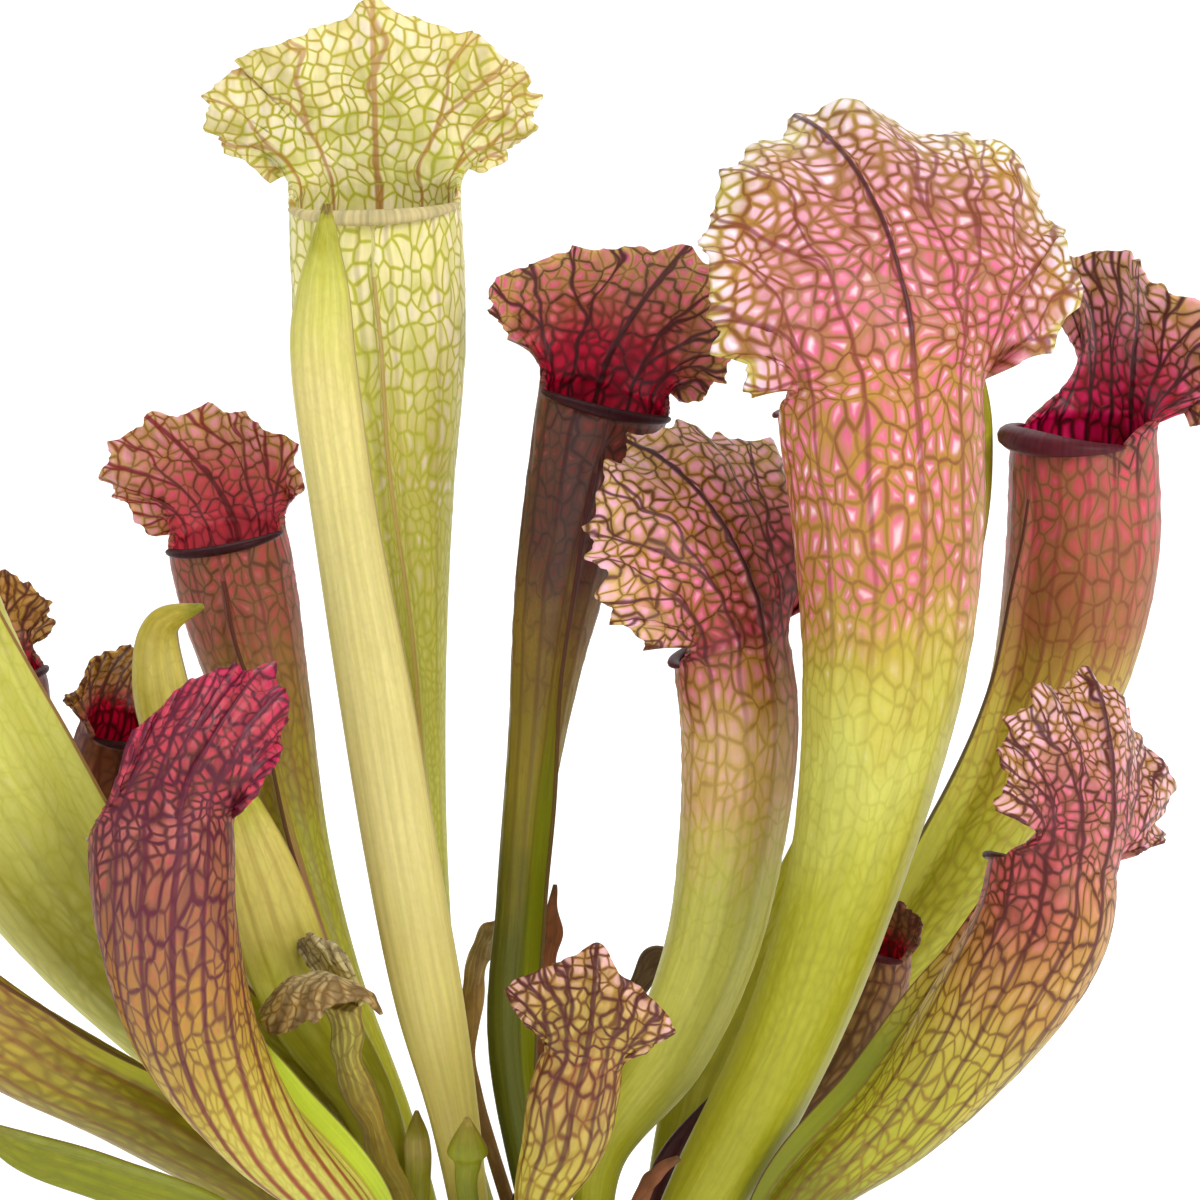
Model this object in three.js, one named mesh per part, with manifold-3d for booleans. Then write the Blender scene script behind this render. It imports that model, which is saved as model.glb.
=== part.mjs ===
// Trumpet pitcher plant, lifted with its rhizome and roots and standing on its flat root mat.
// Millimetres, +Z up. The plant is seen from the front, so -Y points at the viewer.
import * as THREE from "three";
import { mergeVertices } from "three/addons/utils/BufferGeometryUtils.js";
import Module from "manifold-3d";

const wasm = await Module();
wasm.setup();

// Driving dimensions of every leaf, in millimetres and degrees
const WALL = 1.2; // wall of a pitcher's tube
const HOOD_EDGE = 0.85; // thickness of a hood at its edge
const NECK_ANGLE = 100; // half of the arc of the mouth that the hood grows from
const HOLLOW_FROM = 0.33; // the tube is hollow above this share of its length
const WING_EDGE = 0.9; // thickness of the wing along a tube's front
const WING_ROOT = 0.6; // depth that the wing is sunk in the wall
const WING_LOW = 0.5; // height of the wing at its ends
const WING_FROM = 0.12; // the wing runs between these shares of the tube's length
const WING_TO = 0.96;
const SOCKET_GAP = 0.35; // clearance round a leaf's base in the rhizome
const SOCKET_TOP = 40; // every socket is cut up to this height, above the rhizome
const BLADE = 0.9; // thickness of a dried scrap
const HOOD_SINK = 1.2; // depth of a dried hood in the top of its stalk

// Facets
const BACK_CELLS = 6; // cells of a tube's ring below the hood
const FRONT_CELLS = 6; // cells of a tube's ring below the lip

// Each pitcher: knots of its axis as x, y, z and half width from base to mouth, the way that its
// mouth faces at the base and at the mouth (0 is the viewer, 90 is +X), its wing, lip and hood.
const PITCHERS = [
  {
    name: "pitcher_tall_green",
    colour: 0xb5c15a,
    knots: [
      [-9, 13, 27, 3], [-19, 18, 61, 3.7], [-24, 27, 103, 4.7], [-27, 32, 144, 7],
      [-31, 36, 184, 12.7], [-33, 38, 217, 17.3], [-34, 35, 247, 17.6],
    ],
    faces: [20, 0], round: 0.85, rows: 8, drop: 1.5, wing: 4, lip: 1.5,
    hood: {
      width: 33.5, height: 34, centre: 17, lobe: 20, fan: 140, lean: -6, cup: -3, fold: 0,
      notch: 5, pinch: 0.95, skew: -0.06, turn: 0, sway: 0, apex: 3, spike: 4.5,
      scallop: 0.05, ruffle: 2, cells: 24, rows: 4,
    },
  },
  {
    name: "pitcher_maroon",
    colour: 0x5a2a22,
    knots: [
      [1, 8, 27, 3], [-7, 11, 73, 4.2], [-5, 16, 105, 4.5], [-1, 19, 138, 5.9],
      [4, 22, 170, 9.3], [13, 22, 208, 13.6],
    ],
    faces: [60, 8], round: 0.85, rows: 8, drop: 2, wing: 5, lip: 1.5,
    hood: {
      width: 25, height: 32, centre: 13, lobe: 14, fan: 132, lean: 12, cup: 4, fold: 0,
      notch: 5, pinch: 0.9, skew: -0.1, turn: 8, sway: 0, apex: 11, spike: 3,
      scallop: 0.06, ruffle: 2, cells: 18, rows: 4,
    },
  },
  {
    name: "pitcher_pink",
    colour: 0xb06a5c,
    knots: [
      [11, -1, 27, 3], [12, 1, 54, 5.2], [26, 3, 76, 8.4], [35, 3, 99, 10],
      [39, 0, 124, 11.4], [40, -3, 145, 12.4], [38, -5, 162, 12.4],
    ],
    faces: [-150, -140], round: 0.85, rows: 8, drop: 3, wing: 4, lip: 1.3,
    hood: {
      width: 30, height: 51, centre: 22, lobe: 24, fan: 126, lean: 62, cup: 7, fold: 0,
      notch: 6, pinch: 1, skew: 0, turn: 0, sway: 0, apex: 0, spike: 3,
      scallop: 0.04, ruffle: 1.8, cells: 24, rows: 4,
    },
  },
  {
    name: "pitcher_large_pink",
    colour: 0xc98a7a,
    knots: [
      [19, -12, 27, 3.4], [34, -15, 52, 8.4], [50, -22, 87, 9.8], [61, -24, 122, 11.8],
      [67, -27, 157, 15.7], [68, -28, 187, 18.6], [66, -27, 215, 20.2],
    ],
    faces: [-160, -160], round: 0.9, rows: 8, drop: 4, wing: 5, lip: 1.6,
    hood: {
      width: 39, height: 69, centre: 28, lobe: 34, fan: 128, lean: 68, cup: 9, fold: 0,
      notch: 7, pinch: 1, skew: -0.1, turn: 0, sway: 0, apex: 0, spike: 3,
      scallop: 0.035, ruffle: 2.2, cells: 24, rows: 4,
    },
  },
  {
    name: "pitcher_right_crimson",
    colour: 0x8c3b32,
    knots: [
      [34, 12, 27, 3], [49, 28, 55, 5.7], [71, 43, 78, 7.8], [93, 50, 109, 9.5],
      [107, 51, 139, 13.4], [113, 51, 168, 15.8], [113, 49, 197, 15.2],
    ],
    faces: [-70, -50], round: 1, rows: 8, drop: 1, wing: 6, lip: 1.9,
    hood: {
      width: 26, height: 35, centre: 17, lobe: 16, fan: 126, lean: 14, cup: -5, fold: 0,
      notch: 8, pinch: 0.8, skew: 0, turn: 18, sway: 0, apex: 0, spike: 2,
      scallop: 0.06, ruffle: 2.2, cells: 18, rows: 4,
    },
  },
  {
    name: "pitcher_left_ochre",
    colour: 0x9a6a45,
    knots: [
      [-21, 11, 27, 3], [-31, 19, 57, 4.1], [-43, 35, 83, 4.9], [-52, 46, 109, 6.8],
      [-59, 54, 138, 9.8], [-64, 58, 158, 12.4], [-67, 58, 174, 12.8],
    ],
    faces: [10, -8], round: 0.85, rows: 8, drop: 2, wing: 3.5, lip: 1.3,
    hood: {
      width: 20.5, height: 26, centre: 13, lobe: 17, fan: 132, lean: 8, cup: 2, fold: 0,
      notch: 4, pinch: 0.9, skew: -0.36, turn: -10, sway: 0, apex: -1, spike: 2,
      scallop: 0.06, ruffle: 1.6, cells: 18, rows: 4,
    },
  },
  {
    name: "pitcher_left_purple",
    colour: 0x6e2f33,
    knots: [
      [-27, -19, 27, 3], [-37, -29, 50, 5.1], [-54, -43, 72, 8.5], [-66, -51, 95, 11.9],
      [-71, -54, 118, 13.4], [-72, -51, 136, 13.9],
    ],
    faces: [110, 200], round: 1, rows: 7, drop: 4, wing: 6, lip: 1,
    hood: {
      width: 15, height: 30, centre: 13, lobe: 12, fan: 112, lean: 20, cup: 3, fold: 0,
      notch: 4, pinch: 0.9, skew: -0.45, turn: 0, sway: 5, apex: 0, spike: 2,
      scallop: 0.05, ruffle: 1.5, cells: 18, rows: 4,
    },
  },
  {
    name: "pitcher_small_front",
    colour: 0xa87a4a,
    knots: [
      [4, -17, 27, 2.8], [0, -34, 53, 4.7], [5, -45, 71, 8.1], [7, -50, 82, 8.5],
      [9, -51, 90, 7.7],
    ],
    faces: [180, 180], round: 0.85, rows: 6, drop: 2, wing: 2.5, lip: 1,
    hood: {
      width: 15, height: 21, centre: 9, lobe: 9, fan: 120, lean: 30, cup: 4, fold: 0,
      notch: 3, pinch: 0.9, skew: 0.12, turn: 0, sway: 0, apex: 0, spike: 2,
      scallop: 0.07, ruffle: 1.3, cells: 18, rows: 4,
    },
  },
  {
    name: "pitcher_right_low",
    colour: 0x9b4f45,
    knots: [
      [36, -15, 27, 3], [52, -28, 54, 5.9], [71, -33, 72, 8.8], [87, -34, 92, 12],
      [98, -31, 109, 13.2], [101, -28, 123, 12.6],
    ],
    faces: [-95, -135], round: 1, rows: 7, drop: 2, wing: 5, lip: 1.2,
    hood: {
      width: 27, height: 38, centre: 16, lobe: 15, fan: 122, lean: 34, cup: 0, fold: 6,
      notch: 5, pinch: 0.9, skew: 0, turn: 0, sway: 0, apex: 0, spike: 2,
      scallop: 0.06, ruffle: 1.8, cells: 18, rows: 4,
    },
  },
  {
    name: "pitcher_far_left",
    colour: 0x7e3a2c,
    knots: [
      [-40, 15, 24, 2.8], [-51, 30, 52, 4.9], [-79, 44, 77, 7], [-100, 51, 106, 8.3],
      [-111, 51, 129, 9.1], [-114, 51, 146, 9.1],
    ],
    faces: [60, 30], round: 0.85, rows: 6, drop: 2, wing: 3, lip: 1.2,
    hood: {
      width: 15, height: 20, centre: 9, lobe: 9, fan: 128, lean: 10, cup: 2, fold: 0,
      notch: 3, pinch: 0.85, skew: 0, turn: 0, sway: 0, apex: 0, spike: 2,
      scallop: 0.07, ruffle: 1.3, cells: 18, rows: 4,
    },
  },
  {
    name: "pitcher_small_left_back",
    colour: 0x8a4a38,
    knots: [
      [-42, 4, 25, 2.6], [-50, 18, 60, 4], [-74, 26, 85, 6.1], [-87, 24, 109, 7.7],
      [-90, 22, 127, 8.5], [-87, 19, 141, 8.1],
    ],
    faces: [50, 52], round: 0.85, rows: 6, drop: 2, wing: 2.5, lip: 1,
    hood: {
      width: 12, height: 17, centre: 8, lobe: 7, fan: 122, lean: 30, cup: 2, fold: 0,
      notch: 3, pinch: 0.85, skew: 0, turn: 0, sway: 0, apex: 0, spike: 1.5,
      scallop: 0.07, ruffle: 1, cells: 12, rows: 3,
    },
  },
  {
    name: "pitcher_left_light",
    colour: 0xa3b545,
    knots: [
      [-36, -4, 27, 3.4], [-48, 0, 59, 9.1], [-73, -5, 85, 12], [-95, -11, 112, 14.5],
      [-114, -11, 144, 17.5], [-127, -8, 171, 19], [-132, -5, 195, 18.5],
    ],
    faces: [90, 60], round: 1, rows: 8, drop: 3, wing: 5, lip: 1.6,
    hood: {
      width: 32, height: 40, centre: 16, lobe: 17, fan: 134, lean: 10, cup: 2, fold: 0,
      notch: 5, pinch: 0.9, skew: 0, turn: 0, sway: 0, apex: 0, spike: 3,
      scallop: 0.05, ruffle: 2, cells: 18, rows: 4,
    },
  },
  {
    name: "pitcher_left_olive",
    colour: 0x8f8a3e,
    knots: [
      [-39, -14, 26, 2.8], [-55, -21, 53, 6.6], [-80, -32, 74, 8.1], [-102, -40, 89, 9.3],
      [-119, -43, 103, 10.1], [-127, -40, 117, 9.7],
    ],
    faces: [90, 70], round: 1, rows: 7, drop: 2, wing: 4, lip: 1.1,
    hood: {
      width: 17, height: 24, centre: 10, lobe: 10, fan: 126, lean: 12, cup: 2, fold: 0,
      notch: 4, pinch: 0.85, skew: 0, turn: 0, sway: 0, apex: 0, spike: 2,
      scallop: 0.06, ruffle: 1.4, cells: 18, rows: 4,
    },
  },
  {
    name: "pitcher_dying_brown",
    colour: 0x7a5a40,
    knots: [
      [31, 0, 27, 2.4], [47, 9, 54, 3.6], [61, 18, 70, 6.1], [68, 20, 85, 7.5],
      [70, 19, 94, 6.9],
    ],
    faces: [-50, -40], round: 0.8, rows: 6, drop: 1, wing: 2.5, lip: 1,
    hood: {
      width: 6.5, height: 10, centre: 6, lobe: 5, fan: 116, lean: 30, cup: 1, fold: 0,
      notch: 2, pinch: 0.85, skew: 0, turn: 0, sway: 0, apex: 1, spike: 1.5,
      scallop: 0.07, ruffle: 0.7, cells: 12, rows: 3,
    },
  },
];

// Leaves that are closed all round: unopened pitchers, flat leaves, buds and dried stalks.
// Knots as above, the way that the broad side faces, depth to width, and sides of the section.
const CLOSED_LEAVES = [
  {
    name: "leaf_unopened_cream",
    colour: 0xcdc57c,
    knots: [
      [-12, -4, 27, 3], [-17, -15, 66, 4.9], [-22, -20, 93, 6.9], [-27, -20, 121, 7.3],
      [-32, -19, 153, 7.3], [-38, -16, 189, 6.5], [-42, -14, 219, 6.5],
      [-42, -14, 234, 5.1], [-41, -14, 252, 0.4],
    ],
    face: 0, round: 0.72, sides: 10, rows: 15,
  },
  {
    name: "leaf_unopened_curled",
    colour: 0xa79a52,
    knots: [
      [-32, 8, 27, 2.4], [-36, 11, 60, 3], [-55, 14, 89, 5.6], [-66, 8, 115, 6.8],
      [-73, 3, 139, 6.4], [-76, -3, 154, 5.6], [-75, -7, 166, 3.6], [-66, -11, 171, 0.4],
    ],
    face: 0, round: 0.72, sides: 8, rows: 14,
  },
  {
    name: "leaf_flat_green",
    colour: 0x93a63c,
    knots: [
      [-25, 1, 27, 2.8], [-34, -4, 64, 5.6], [-47, -12, 90, 8.3], [-55, -16, 115, 7.9],
      [-60, -18, 132, 4.8], [-62, -18, 141, 0.4],
    ],
    face: 10, round: 0.34, sides: 8, rows: 12,
  },
  {
    name: "leaf_narrow_back",
    colour: 0x9db04a,
    knots: [
      [22, 14, 27, 2.8], [33, 32, 66, 5.7], [54, 43, 99, 6.8], [75, 49, 143, 6.2],
      [86, 49, 172, 6.2], [90, 49, 197, 4.1], [90, 46, 215, 0.4],
    ],
    face: 10, round: 0.34, sides: 8, rows: 14,
  },
  {
    name: "leaf_low_green",
    colour: 0x6f8434,
    knots: [
      [-33, -28, 24, 2.4], [-59, -44, 53, 3.8], [-83, -51, 65, 4.6], [-99, -55, 72, 3.8],
      [-109, -57, 79, 0.4],
    ],
    face: 20, round: 0.34, sides: 8, rows: 10,
  },
  {
    name: "leaf_young_tip",
    colour: 0x7f9a3a,
    knots: [
      [-9, -18, 26, 2], [-14, -32, 55, 2.1], [-14, -36, 64, 2.7], [-14, -37, 67, 4],
      [-14, -38, 74, 0.4],
    ],
    face: 0, round: 0.6, sides: 6, rows: 10,
  },
  {
    name: "leaf_bud",
    colour: 0x7b9440,
    knots: [[-27, -8, 27, 2.2], [-25, -7, 51, 2.6], [-25, -7, 60, 2.6], [-25, -9, 67, 0.4]],
    face: 0, round: 0.8, sides: 6, rows: 7,
  },
  {
    name: "leaf_dried_rust",
    colour: 0xa0603a,
    knots: [[6, 18, 25, 1.6], [-2, 26, 59, 2], [1, 32, 89, 2.5], [2, 35, 103, 0.4]],
    face: 10, round: 0.4, sides: 6, rows: 9,
  },
  {
    name: "leaf_dried_beige",
    colour: 0xb9a473,
    knots: [
      [-3, 22, 24, 1.6], [-15, 32, 63, 1.5], [-15, 37, 80, 3], [-12, 35, 91, 3],
      [-8, 32, 96, 0.4],
    ],
    face: 10, round: 0.35, sides: 6, rows: 9,
  },
  {
    name: "leaf_dried_grey",
    colour: 0x7d6a50,
    knots: [
      [13, 9, 27, 1.6], [14, 17, 62, 1.5], [19, 21, 82, 2], [23, 20, 91, 2.6],
      [27, 16, 89, 0.4],
    ],
    face: -20, round: 0.4, sides: 6, rows: 9,
  },
  {
    name: "leaf_dried_hook",
    colour: 0x8a5a44,
    knots: [[10, -19, 25, 1.6], [20, -32, 55, 1.7], [23, -36, 62, 1.6], [27, -38, 66, 0.6]],
    face: 0, round: 0.8, sides: 6, rows: 8,
  },
  {
    name: "leaf_base_dark_centre",
    colour: 0x3a1c1c,
    knots: [[21, 1, 27, 2.4], [25, 5, 50, 2.6], [37, 5, 68, 0.8]],
    face: 0, round: 0.6, sides: 6, rows: 7,
  },
  {
    name: "leaf_base_dark_right",
    colour: 0x3a1c1c,
    knots: [[27, -5, 27, 2.4], [43, -1, 47, 2.8], [56, -2, 63, 0.8]],
    face: 0, round: 0.6, sides: 6, rows: 7,
  },
];

// The withered pitcher: a thin stalk that carries a small dried, curled hood
const WITHERED = {
  name: "pitcher_withered",
  colour: 0x8d7a50,
  knots: [[-19, -11, 27, 2.2], [-30, -17, 56, 2.7], [-37, -23, 78, 3.3], [-39, -26, 94, 4]],
  faces: [0, -30], round: 0.7, sides: 6, rows: 7, drop: 0,
  hood: {
    width: 11, height: 30, centre: 12, lobe: 8, fan: 110, lean: 165, cup: 3, fold: 0,
    notch: 3, pinch: 1, skew: 0, turn: 0, sway: 0, apex: -4, spike: 0,
    scallop: 0.08, ruffle: 1.2, cells: 10, rows: 4,
  },
};

// The rhizome's growing points as centre and radii, and the root mat under them
const GROWING_POINTS = [
  [[28, 0, 21], [18, 20, 15]],
  [[2, 1, 21], [20, 26, 15]],
  [[-30, -3, 21], [21, 30, 15]],
];
const MAT_PROFILE = [[0, 0], [29, 0], [33, 3], [31, 9], [22, 16], [0, 20]];
const MAT_STRETCH = 1.35; // the mat is longer than it is deep
const MAT_LUMPS = 0.1; // how far its outline runs in and out
const MAT_SIDES = 24;
const ROOTS = 16;
const ROOT_REACH = 24; // how far a root runs past the mat
const ROOT_HALF = 2.2;
const ROOT_SIDES = 4;
const ROOT_STEPS = 5;
const RHIZOME_COLOUR = 0x6b4630;

const radians = THREE.MathUtils.degToRad;
const smooth = THREE.MathUtils.smoothstep;
const mix = THREE.MathUtils.lerp;
const NECK = radians(NECK_ANGLE);
const RING_CELLS = BACK_CELLS + FRONT_CELLS;

// Angle round the tube of each column, from one side of the neck over the back to the other side,
// then along the lip: 0 is the middle of the back
function columnAngle(column) {
  if (column <= BACK_CELLS) return mix(-NECK, NECK, column / BACK_CELLS);
  return mix(NECK, 2 * Math.PI - NECK, (column - BACK_CELLS) / FRONT_CELLS);
}

// Axis of a leaf as a smooth curve through its knots, with its half width as a second curve
function withAxis(leaf) {
  const places = leaf.knots.map(([x, y, z]) => new THREE.Vector3(x, y, z));
  const sizes = leaf.knots.map(([, , , half]) => new THREE.Vector3(half, 0, 0));
  const axis = new THREE.CatmullRomCurve3(places, false, "catmullrom", 0.5);
  const widths = new THREE.CatmullRomCurve3(sizes, false, "catmullrom", 0.5);
  return { faces: [leaf.face, leaf.face], ...leaf, axis, widths };
}

// Place, directions and half width of a leaf at a share of its length
function frameAt(leaf, share) {
  const azimuth = radians(mix(leaf.faces[0], leaf.faces[1], smooth(share, 0, 1)));
  const up = leaf.axis.getTangent(share);
  const facing = new THREE.Vector3(Math.sin(azimuth), -Math.cos(azimuth), 0);
  const front = facing.addScaledVector(up, -facing.dot(up)).normalize();
  const side = new THREE.Vector3().crossVectors(up, front);
  return { centre: leaf.axis.getPoint(share), up, front, side, half: leaf.widths.getPoint(share).x };
}

function placeIn(frame, x, y, z) {
  const point = frame.centre.clone();
  return point.addScaledVector(frame.side, x).addScaledVector(frame.front, y).addScaledVector(frame.up, z);
}

// The mouth slopes down from the neck to the front of the lip
function mouthShift(leaf, share, angle) {
  return -leaf.drop * (0.5 - 0.5 * Math.cos(angle)) * smooth(share, 0.82, 1);
}

function tubePoint(leaf, share, angle, inset) {
  const frame = frameAt(leaf, share);
  const across = (frame.half - inset) * Math.sin(angle);
  const forward = -(frame.half * leaf.round - inset) * Math.cos(angle);
  return placeIn(frame, across, forward, mouthShift(leaf, share, angle));
}

// Middle surface of a hood: u runs from one side of the neck to the other, v from neck to edge
function hoodMiddle(leaf, u, v) {
  const { hood } = leaf;
  const mouth = frameAt(leaf, 1);
  const half = mouth.half - WALL / 2;
  const angle = u * NECK;
  const fan = u * radians(hood.fan);
  const teeth = hood.cells / 2;
  const wave = 1 + hood.scallop * Math.cos(Math.PI * teeth * u);
  const rise = Math.cos(fan) > 0 ? hood.height - hood.centre : hood.lobe;
  const lift = Math.max(0, Math.cos(fan));
  const start = [half * Math.sin(angle), mouthShift(leaf, 1, angle)];
  const neck = [start[0] * hood.pinch, mix(hood.height * 0.35, hood.notch, Math.abs(u) ** 1.5)];
  const reach = hood.width * Math.sin(fan) * wave + hood.apex * lift;
  const above = rise * Math.cos(fan) * wave + hood.spike * Math.exp(-((u / 0.06) ** 2));
  const turn = radians(hood.turn);
  const top = hood.centre + above * Math.cos(turn) - reach * Math.sin(turn);
  const end = [reach * Math.cos(turn) + above * Math.sin(turn) + hood.skew * top, top];
  const path = [0, 1].map((k) => (1 - v) ** 2 * start[k] + 2 * v * (1 - v) * neck[k] + v ** 2 * end[k]);
  const [x, z] = path;
  const flat = smooth(v, 0, 0.65);
  const spread = Math.abs(x) / hood.width;
  const ruffle = hood.ruffle * v ** 3 * Math.sin((Math.PI * teeth * u) / 2 + 0.7);
  const arc = half * leaf.round * (1 - Math.cos(angle));
  const shape = hood.cup * spread ** 2 + hood.fold * spread + (hood.sway * x) / hood.width;
  const depth = arc * (1 - flat) + shape * flat + ruffle;
  const bend = radians(hood.lean) / hood.height;
  const back = -(mouth.half * leaf.round - WALL / 2);
  const turned = bend * Math.max(0, z);
  const forward = (1 - Math.cos(turned)) / bend + depth * Math.cos(turned);
  const height = Math.min(0, z) + Math.sin(turned) / bend - depth * Math.sin(turned);
  return placeIn(mouth, x, back + forward, height);
}

// A point on either face of a thin sheet that is given by its middle surface
const STEP = 0.01;
function facePoint(middle, u, v, offset) {
  const alongU = middle(Math.min(1, u + STEP), v).sub(middle(Math.max(-1, u - STEP), v));
  const alongV = middle(u, Math.min(1, v + STEP)).sub(middle(u, Math.max(0, v - STEP)));
  const normal = alongV.cross(alongU).normalize();
  return middle(u, v).addScaledVector(normal, offset);
}

// A mesh under construction: points, and triangles as three places in the list of points
class Body {
  points = [];
  faces = [];

  add(point) {
    this.points.push(point);
    return this.points.length - 1;
  }

  face(a, b, c) {
    if (a !== b && b !== c && c !== a) this.faces.push([a, b, c]);
  }

  // Triangles between two rows of points, which may have different counts
  strip(lower, upper, outward) {
    let low = 0;
    let high = 0;
    while (low < lower.length - 1 || high < upper.length - 1) {
      const nextLow = (low + 1) / (lower.length - 1);
      const nextHigh = (high + 1) / (upper.length - 1);
      const raise = low === lower.length - 1 || (high < upper.length - 1 && nextHigh <= nextLow);
      const third = raise ? upper[high + 1] : lower[low + 1];
      if (outward) this.face(lower[low], upper[high], third);
      else this.face(lower[low], third, upper[high]);
      if (raise) high += 1;
      else low += 1;
    }
  }

  cap(ring, outward) {
    for (let k = 1; k < ring.length - 1; k += 1) {
      if (outward) this.face(ring[0], ring[k], ring[k + 1]);
      else this.face(ring[0], ring[k + 1], ring[k]);
    }
  }

  // Closes the edge between two faces of a wall, along chains that run across its thickness
  rim(chains) {
    chains.forEach((from, k) => {
      const to = chains[(k + 1) % chains.length];
      for (let s = 0; s < from.length - 1; s += 1) {
        this.face(to[s], from[s], from[s + 1]);
        this.face(to[s], from[s + 1], to[s + 1]);
      }
    });
  }

  geometry() {
    const flat = this.points.flatMap((point) => point.toArray());
    const geometry = new THREE.BufferGeometry();
    geometry.setAttribute("position", new THREE.Float32BufferAttribute(flat, 3));
    geometry.setIndex(this.faces.flat());
    return geometry;
  }
}

function toSolid(geometry) {
  const bare = geometry.clone();
  bare.deleteAttribute("normal");
  bare.deleteAttribute("uv");
  const merged = mergeVertices(bare, 1e-4);
  const vertProperties = new Float32Array(merged.attributes.position.array);
  const triVerts = new Uint32Array(merged.index.array);
  return new wasm.Manifold(new wasm.Mesh({ numProp: 3, vertProperties, triVerts }));
}

function toMesh(solid, name, colour, roughness) {
  const data = solid.getMesh();
  const geometry = new THREE.BufferGeometry();
  geometry.setAttribute("position", new THREE.BufferAttribute(new Float32Array(data.vertProperties), 3));
  geometry.setIndex(new THREE.BufferAttribute(new Uint32Array(data.triVerts), 1));
  geometry.computeVertexNormals();
  const mesh = new THREE.Mesh(geometry, new THREE.MeshStandardMaterial({ color: colour, roughness }));
  mesh.name = name;
  return mesh;
}

// Row of hood points on one face of the sheet
function hoodRow(body, leaf, v, sideways) {
  const middle = (u, w) => hoodMiddle(leaf, u, w);
  const thick = mix(WALL, HOOD_EDGE, v);
  const row = [];
  for (let k = 0; k <= leaf.hood.cells; k += 1) {
    const u = -1 + (2 * k) / leaf.hood.cells;
    row.push(body.add(facePoint(middle, u, v, (sideways * thick) / 2)));
  }
  return row;
}

// Shares of a tube's length at which its rings lie
function tubeShares(leaf, from) {
  const shares = Array.from({ length: leaf.rows + 1 }, (_, k) => k / leaf.rows);
  return shares.filter((share) => share >= from);
}

// Both walls of an open pitcher: the tube's rings, then the hood's rows above the neck
function pitcherWall(body, leaf, from, inset, sideways) {
  const outward = sideways > 0;
  const rings = tubeShares(leaf, from).map((share) => {
    const ring = [];
    for (let k = 0; k < RING_CELLS; k += 1) {
      ring.push(body.add(tubePoint(leaf, share, columnAngle(k), inset)));
    }
    return ring;
  });
  loft(body, rings, outward);
  body.cap(rings[0], outward);
  const mouth = rings[rings.length - 1];
  const hood = [];
  for (let k = 1; k <= leaf.hood.rows; k += 1) hood.push(hoodRow(body, leaf, k / leaf.hood.rows, sideways));
  body.strip(mouth.slice(0, BACK_CELLS + 1), hood[0], outward);
  for (let k = 0; k < hood.length - 1; k += 1) body.strip(hood[k], hood[k + 1], outward);
  return { mouth, hood };
}

// Bands of triangles between closed rings
function loft(body, rings, outward) {
  for (let k = 0; k < rings.length - 1; k += 1) {
    body.strip([...rings[k], rings[k][0]], [...rings[k + 1], rings[k + 1][0]], outward);
  }
}

// Points in order along the open edge: up one side of the hood, along its edge and down again
function hoodEdge({ mouth, hood }) {
  const sideA = hood.slice(0, -1).map((row) => row[0]);
  const sideB = hood.slice(0, -1).map((row) => row[row.length - 1]);
  return [mouth[0], ...sideA, ...hood[hood.length - 1], ...sideB.reverse(), mouth[BACK_CELLS]];
}

// The rolled lip across the wall's thickness, at one column of the mouth's front
function lipChain(body, leaf, outer, inner, column) {
  const angle = columnAngle(column);
  const share = (column - BACK_CELLS) / FRONT_CELLS;
  const roll = leaf.lip * Math.sqrt(Math.sin(Math.PI * share));
  const mouth = frameAt(leaf, 1);
  const across = mouth.side.clone().multiplyScalar(Math.sin(angle));
  const outward = across.addScaledVector(mouth.front, -Math.cos(angle));
  const at = (out, up) =>
    body.add(body.points[outer].clone().addScaledVector(outward, out).addScaledVector(mouth.up, up));
  const under = at(0.9 * roll, -0.25 * roll);
  const top = at(0.55 * roll, 0.75 * roll);
  body.points[inner].addScaledVector(mouth.up, 0.4 * roll);
  return [outer, under, top, inner];
}

// A closed sheet of even thickness round a middle surface; u and v have the given cells
function sheetSolid(middle, cellsU, cellsV, thickness) {
  const body = new Body();
  const sheet = [1, -1].map((sideways) => {
    const rows = [];
    for (let j = 0; j <= cellsV; j += 1) {
      const row = [];
      for (let k = 0; k <= cellsU; k += 1) {
        const u = -1 + (2 * k) / cellsU;
        row.push(body.add(facePoint(middle, u, j / cellsV, (sideways * thickness) / 2)));
      }
      rows.push(row);
    }
    for (let j = 0; j < cellsV; j += 1) body.strip(rows[j], rows[j + 1], sideways > 0);
    return rows;
  });
  const around = (rows) => [
    ...rows.map((row) => row[0]),
    ...rows[cellsV].slice(1, -1),
    ...rows.map((row) => row[cellsU]).reverse(),
    ...rows[0].slice(1, -1).reverse(),
  ];
  const inner = around(sheet[1]);
  body.rim(around(sheet[0]).map((point, k) => [point, inner[k]]));
  return toSolid(body.geometry());
}

// The wing that runs down the front of a tube, widest below the middle; its root follows the
// ridge of the tube's facets, so it lies in the wall all along
function wingSolid(leaf) {
  const shares = [...tubeShares(leaf, WING_FROM).slice(0, -1), WING_TO];
  const middle = (u, v) => {
    const place = ((u + 1) / 2) * (shares.length - 1);
    const from = Math.min(Math.floor(place), shares.length - 2);
    const ends = [from, from + 1].map((k) => {
      const frame = frameAt(leaf, shares[k]);
      const run = k / (shares.length - 1);
      const height = WING_ROOT + WING_LOW + leaf.wing * Math.sin(Math.PI * run ** 0.7) ** 0.8;
      const reach = frame.half * leaf.round - WING_ROOT + v * height;
      return placeIn(frame, 0, reach, mouthShift(leaf, shares[k], Math.PI));
    });
    return ends[0].lerp(ends[1], place - from);
  };
  return sheetSolid(middle, shares.length - 1, 1, WING_EDGE);
}

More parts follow.
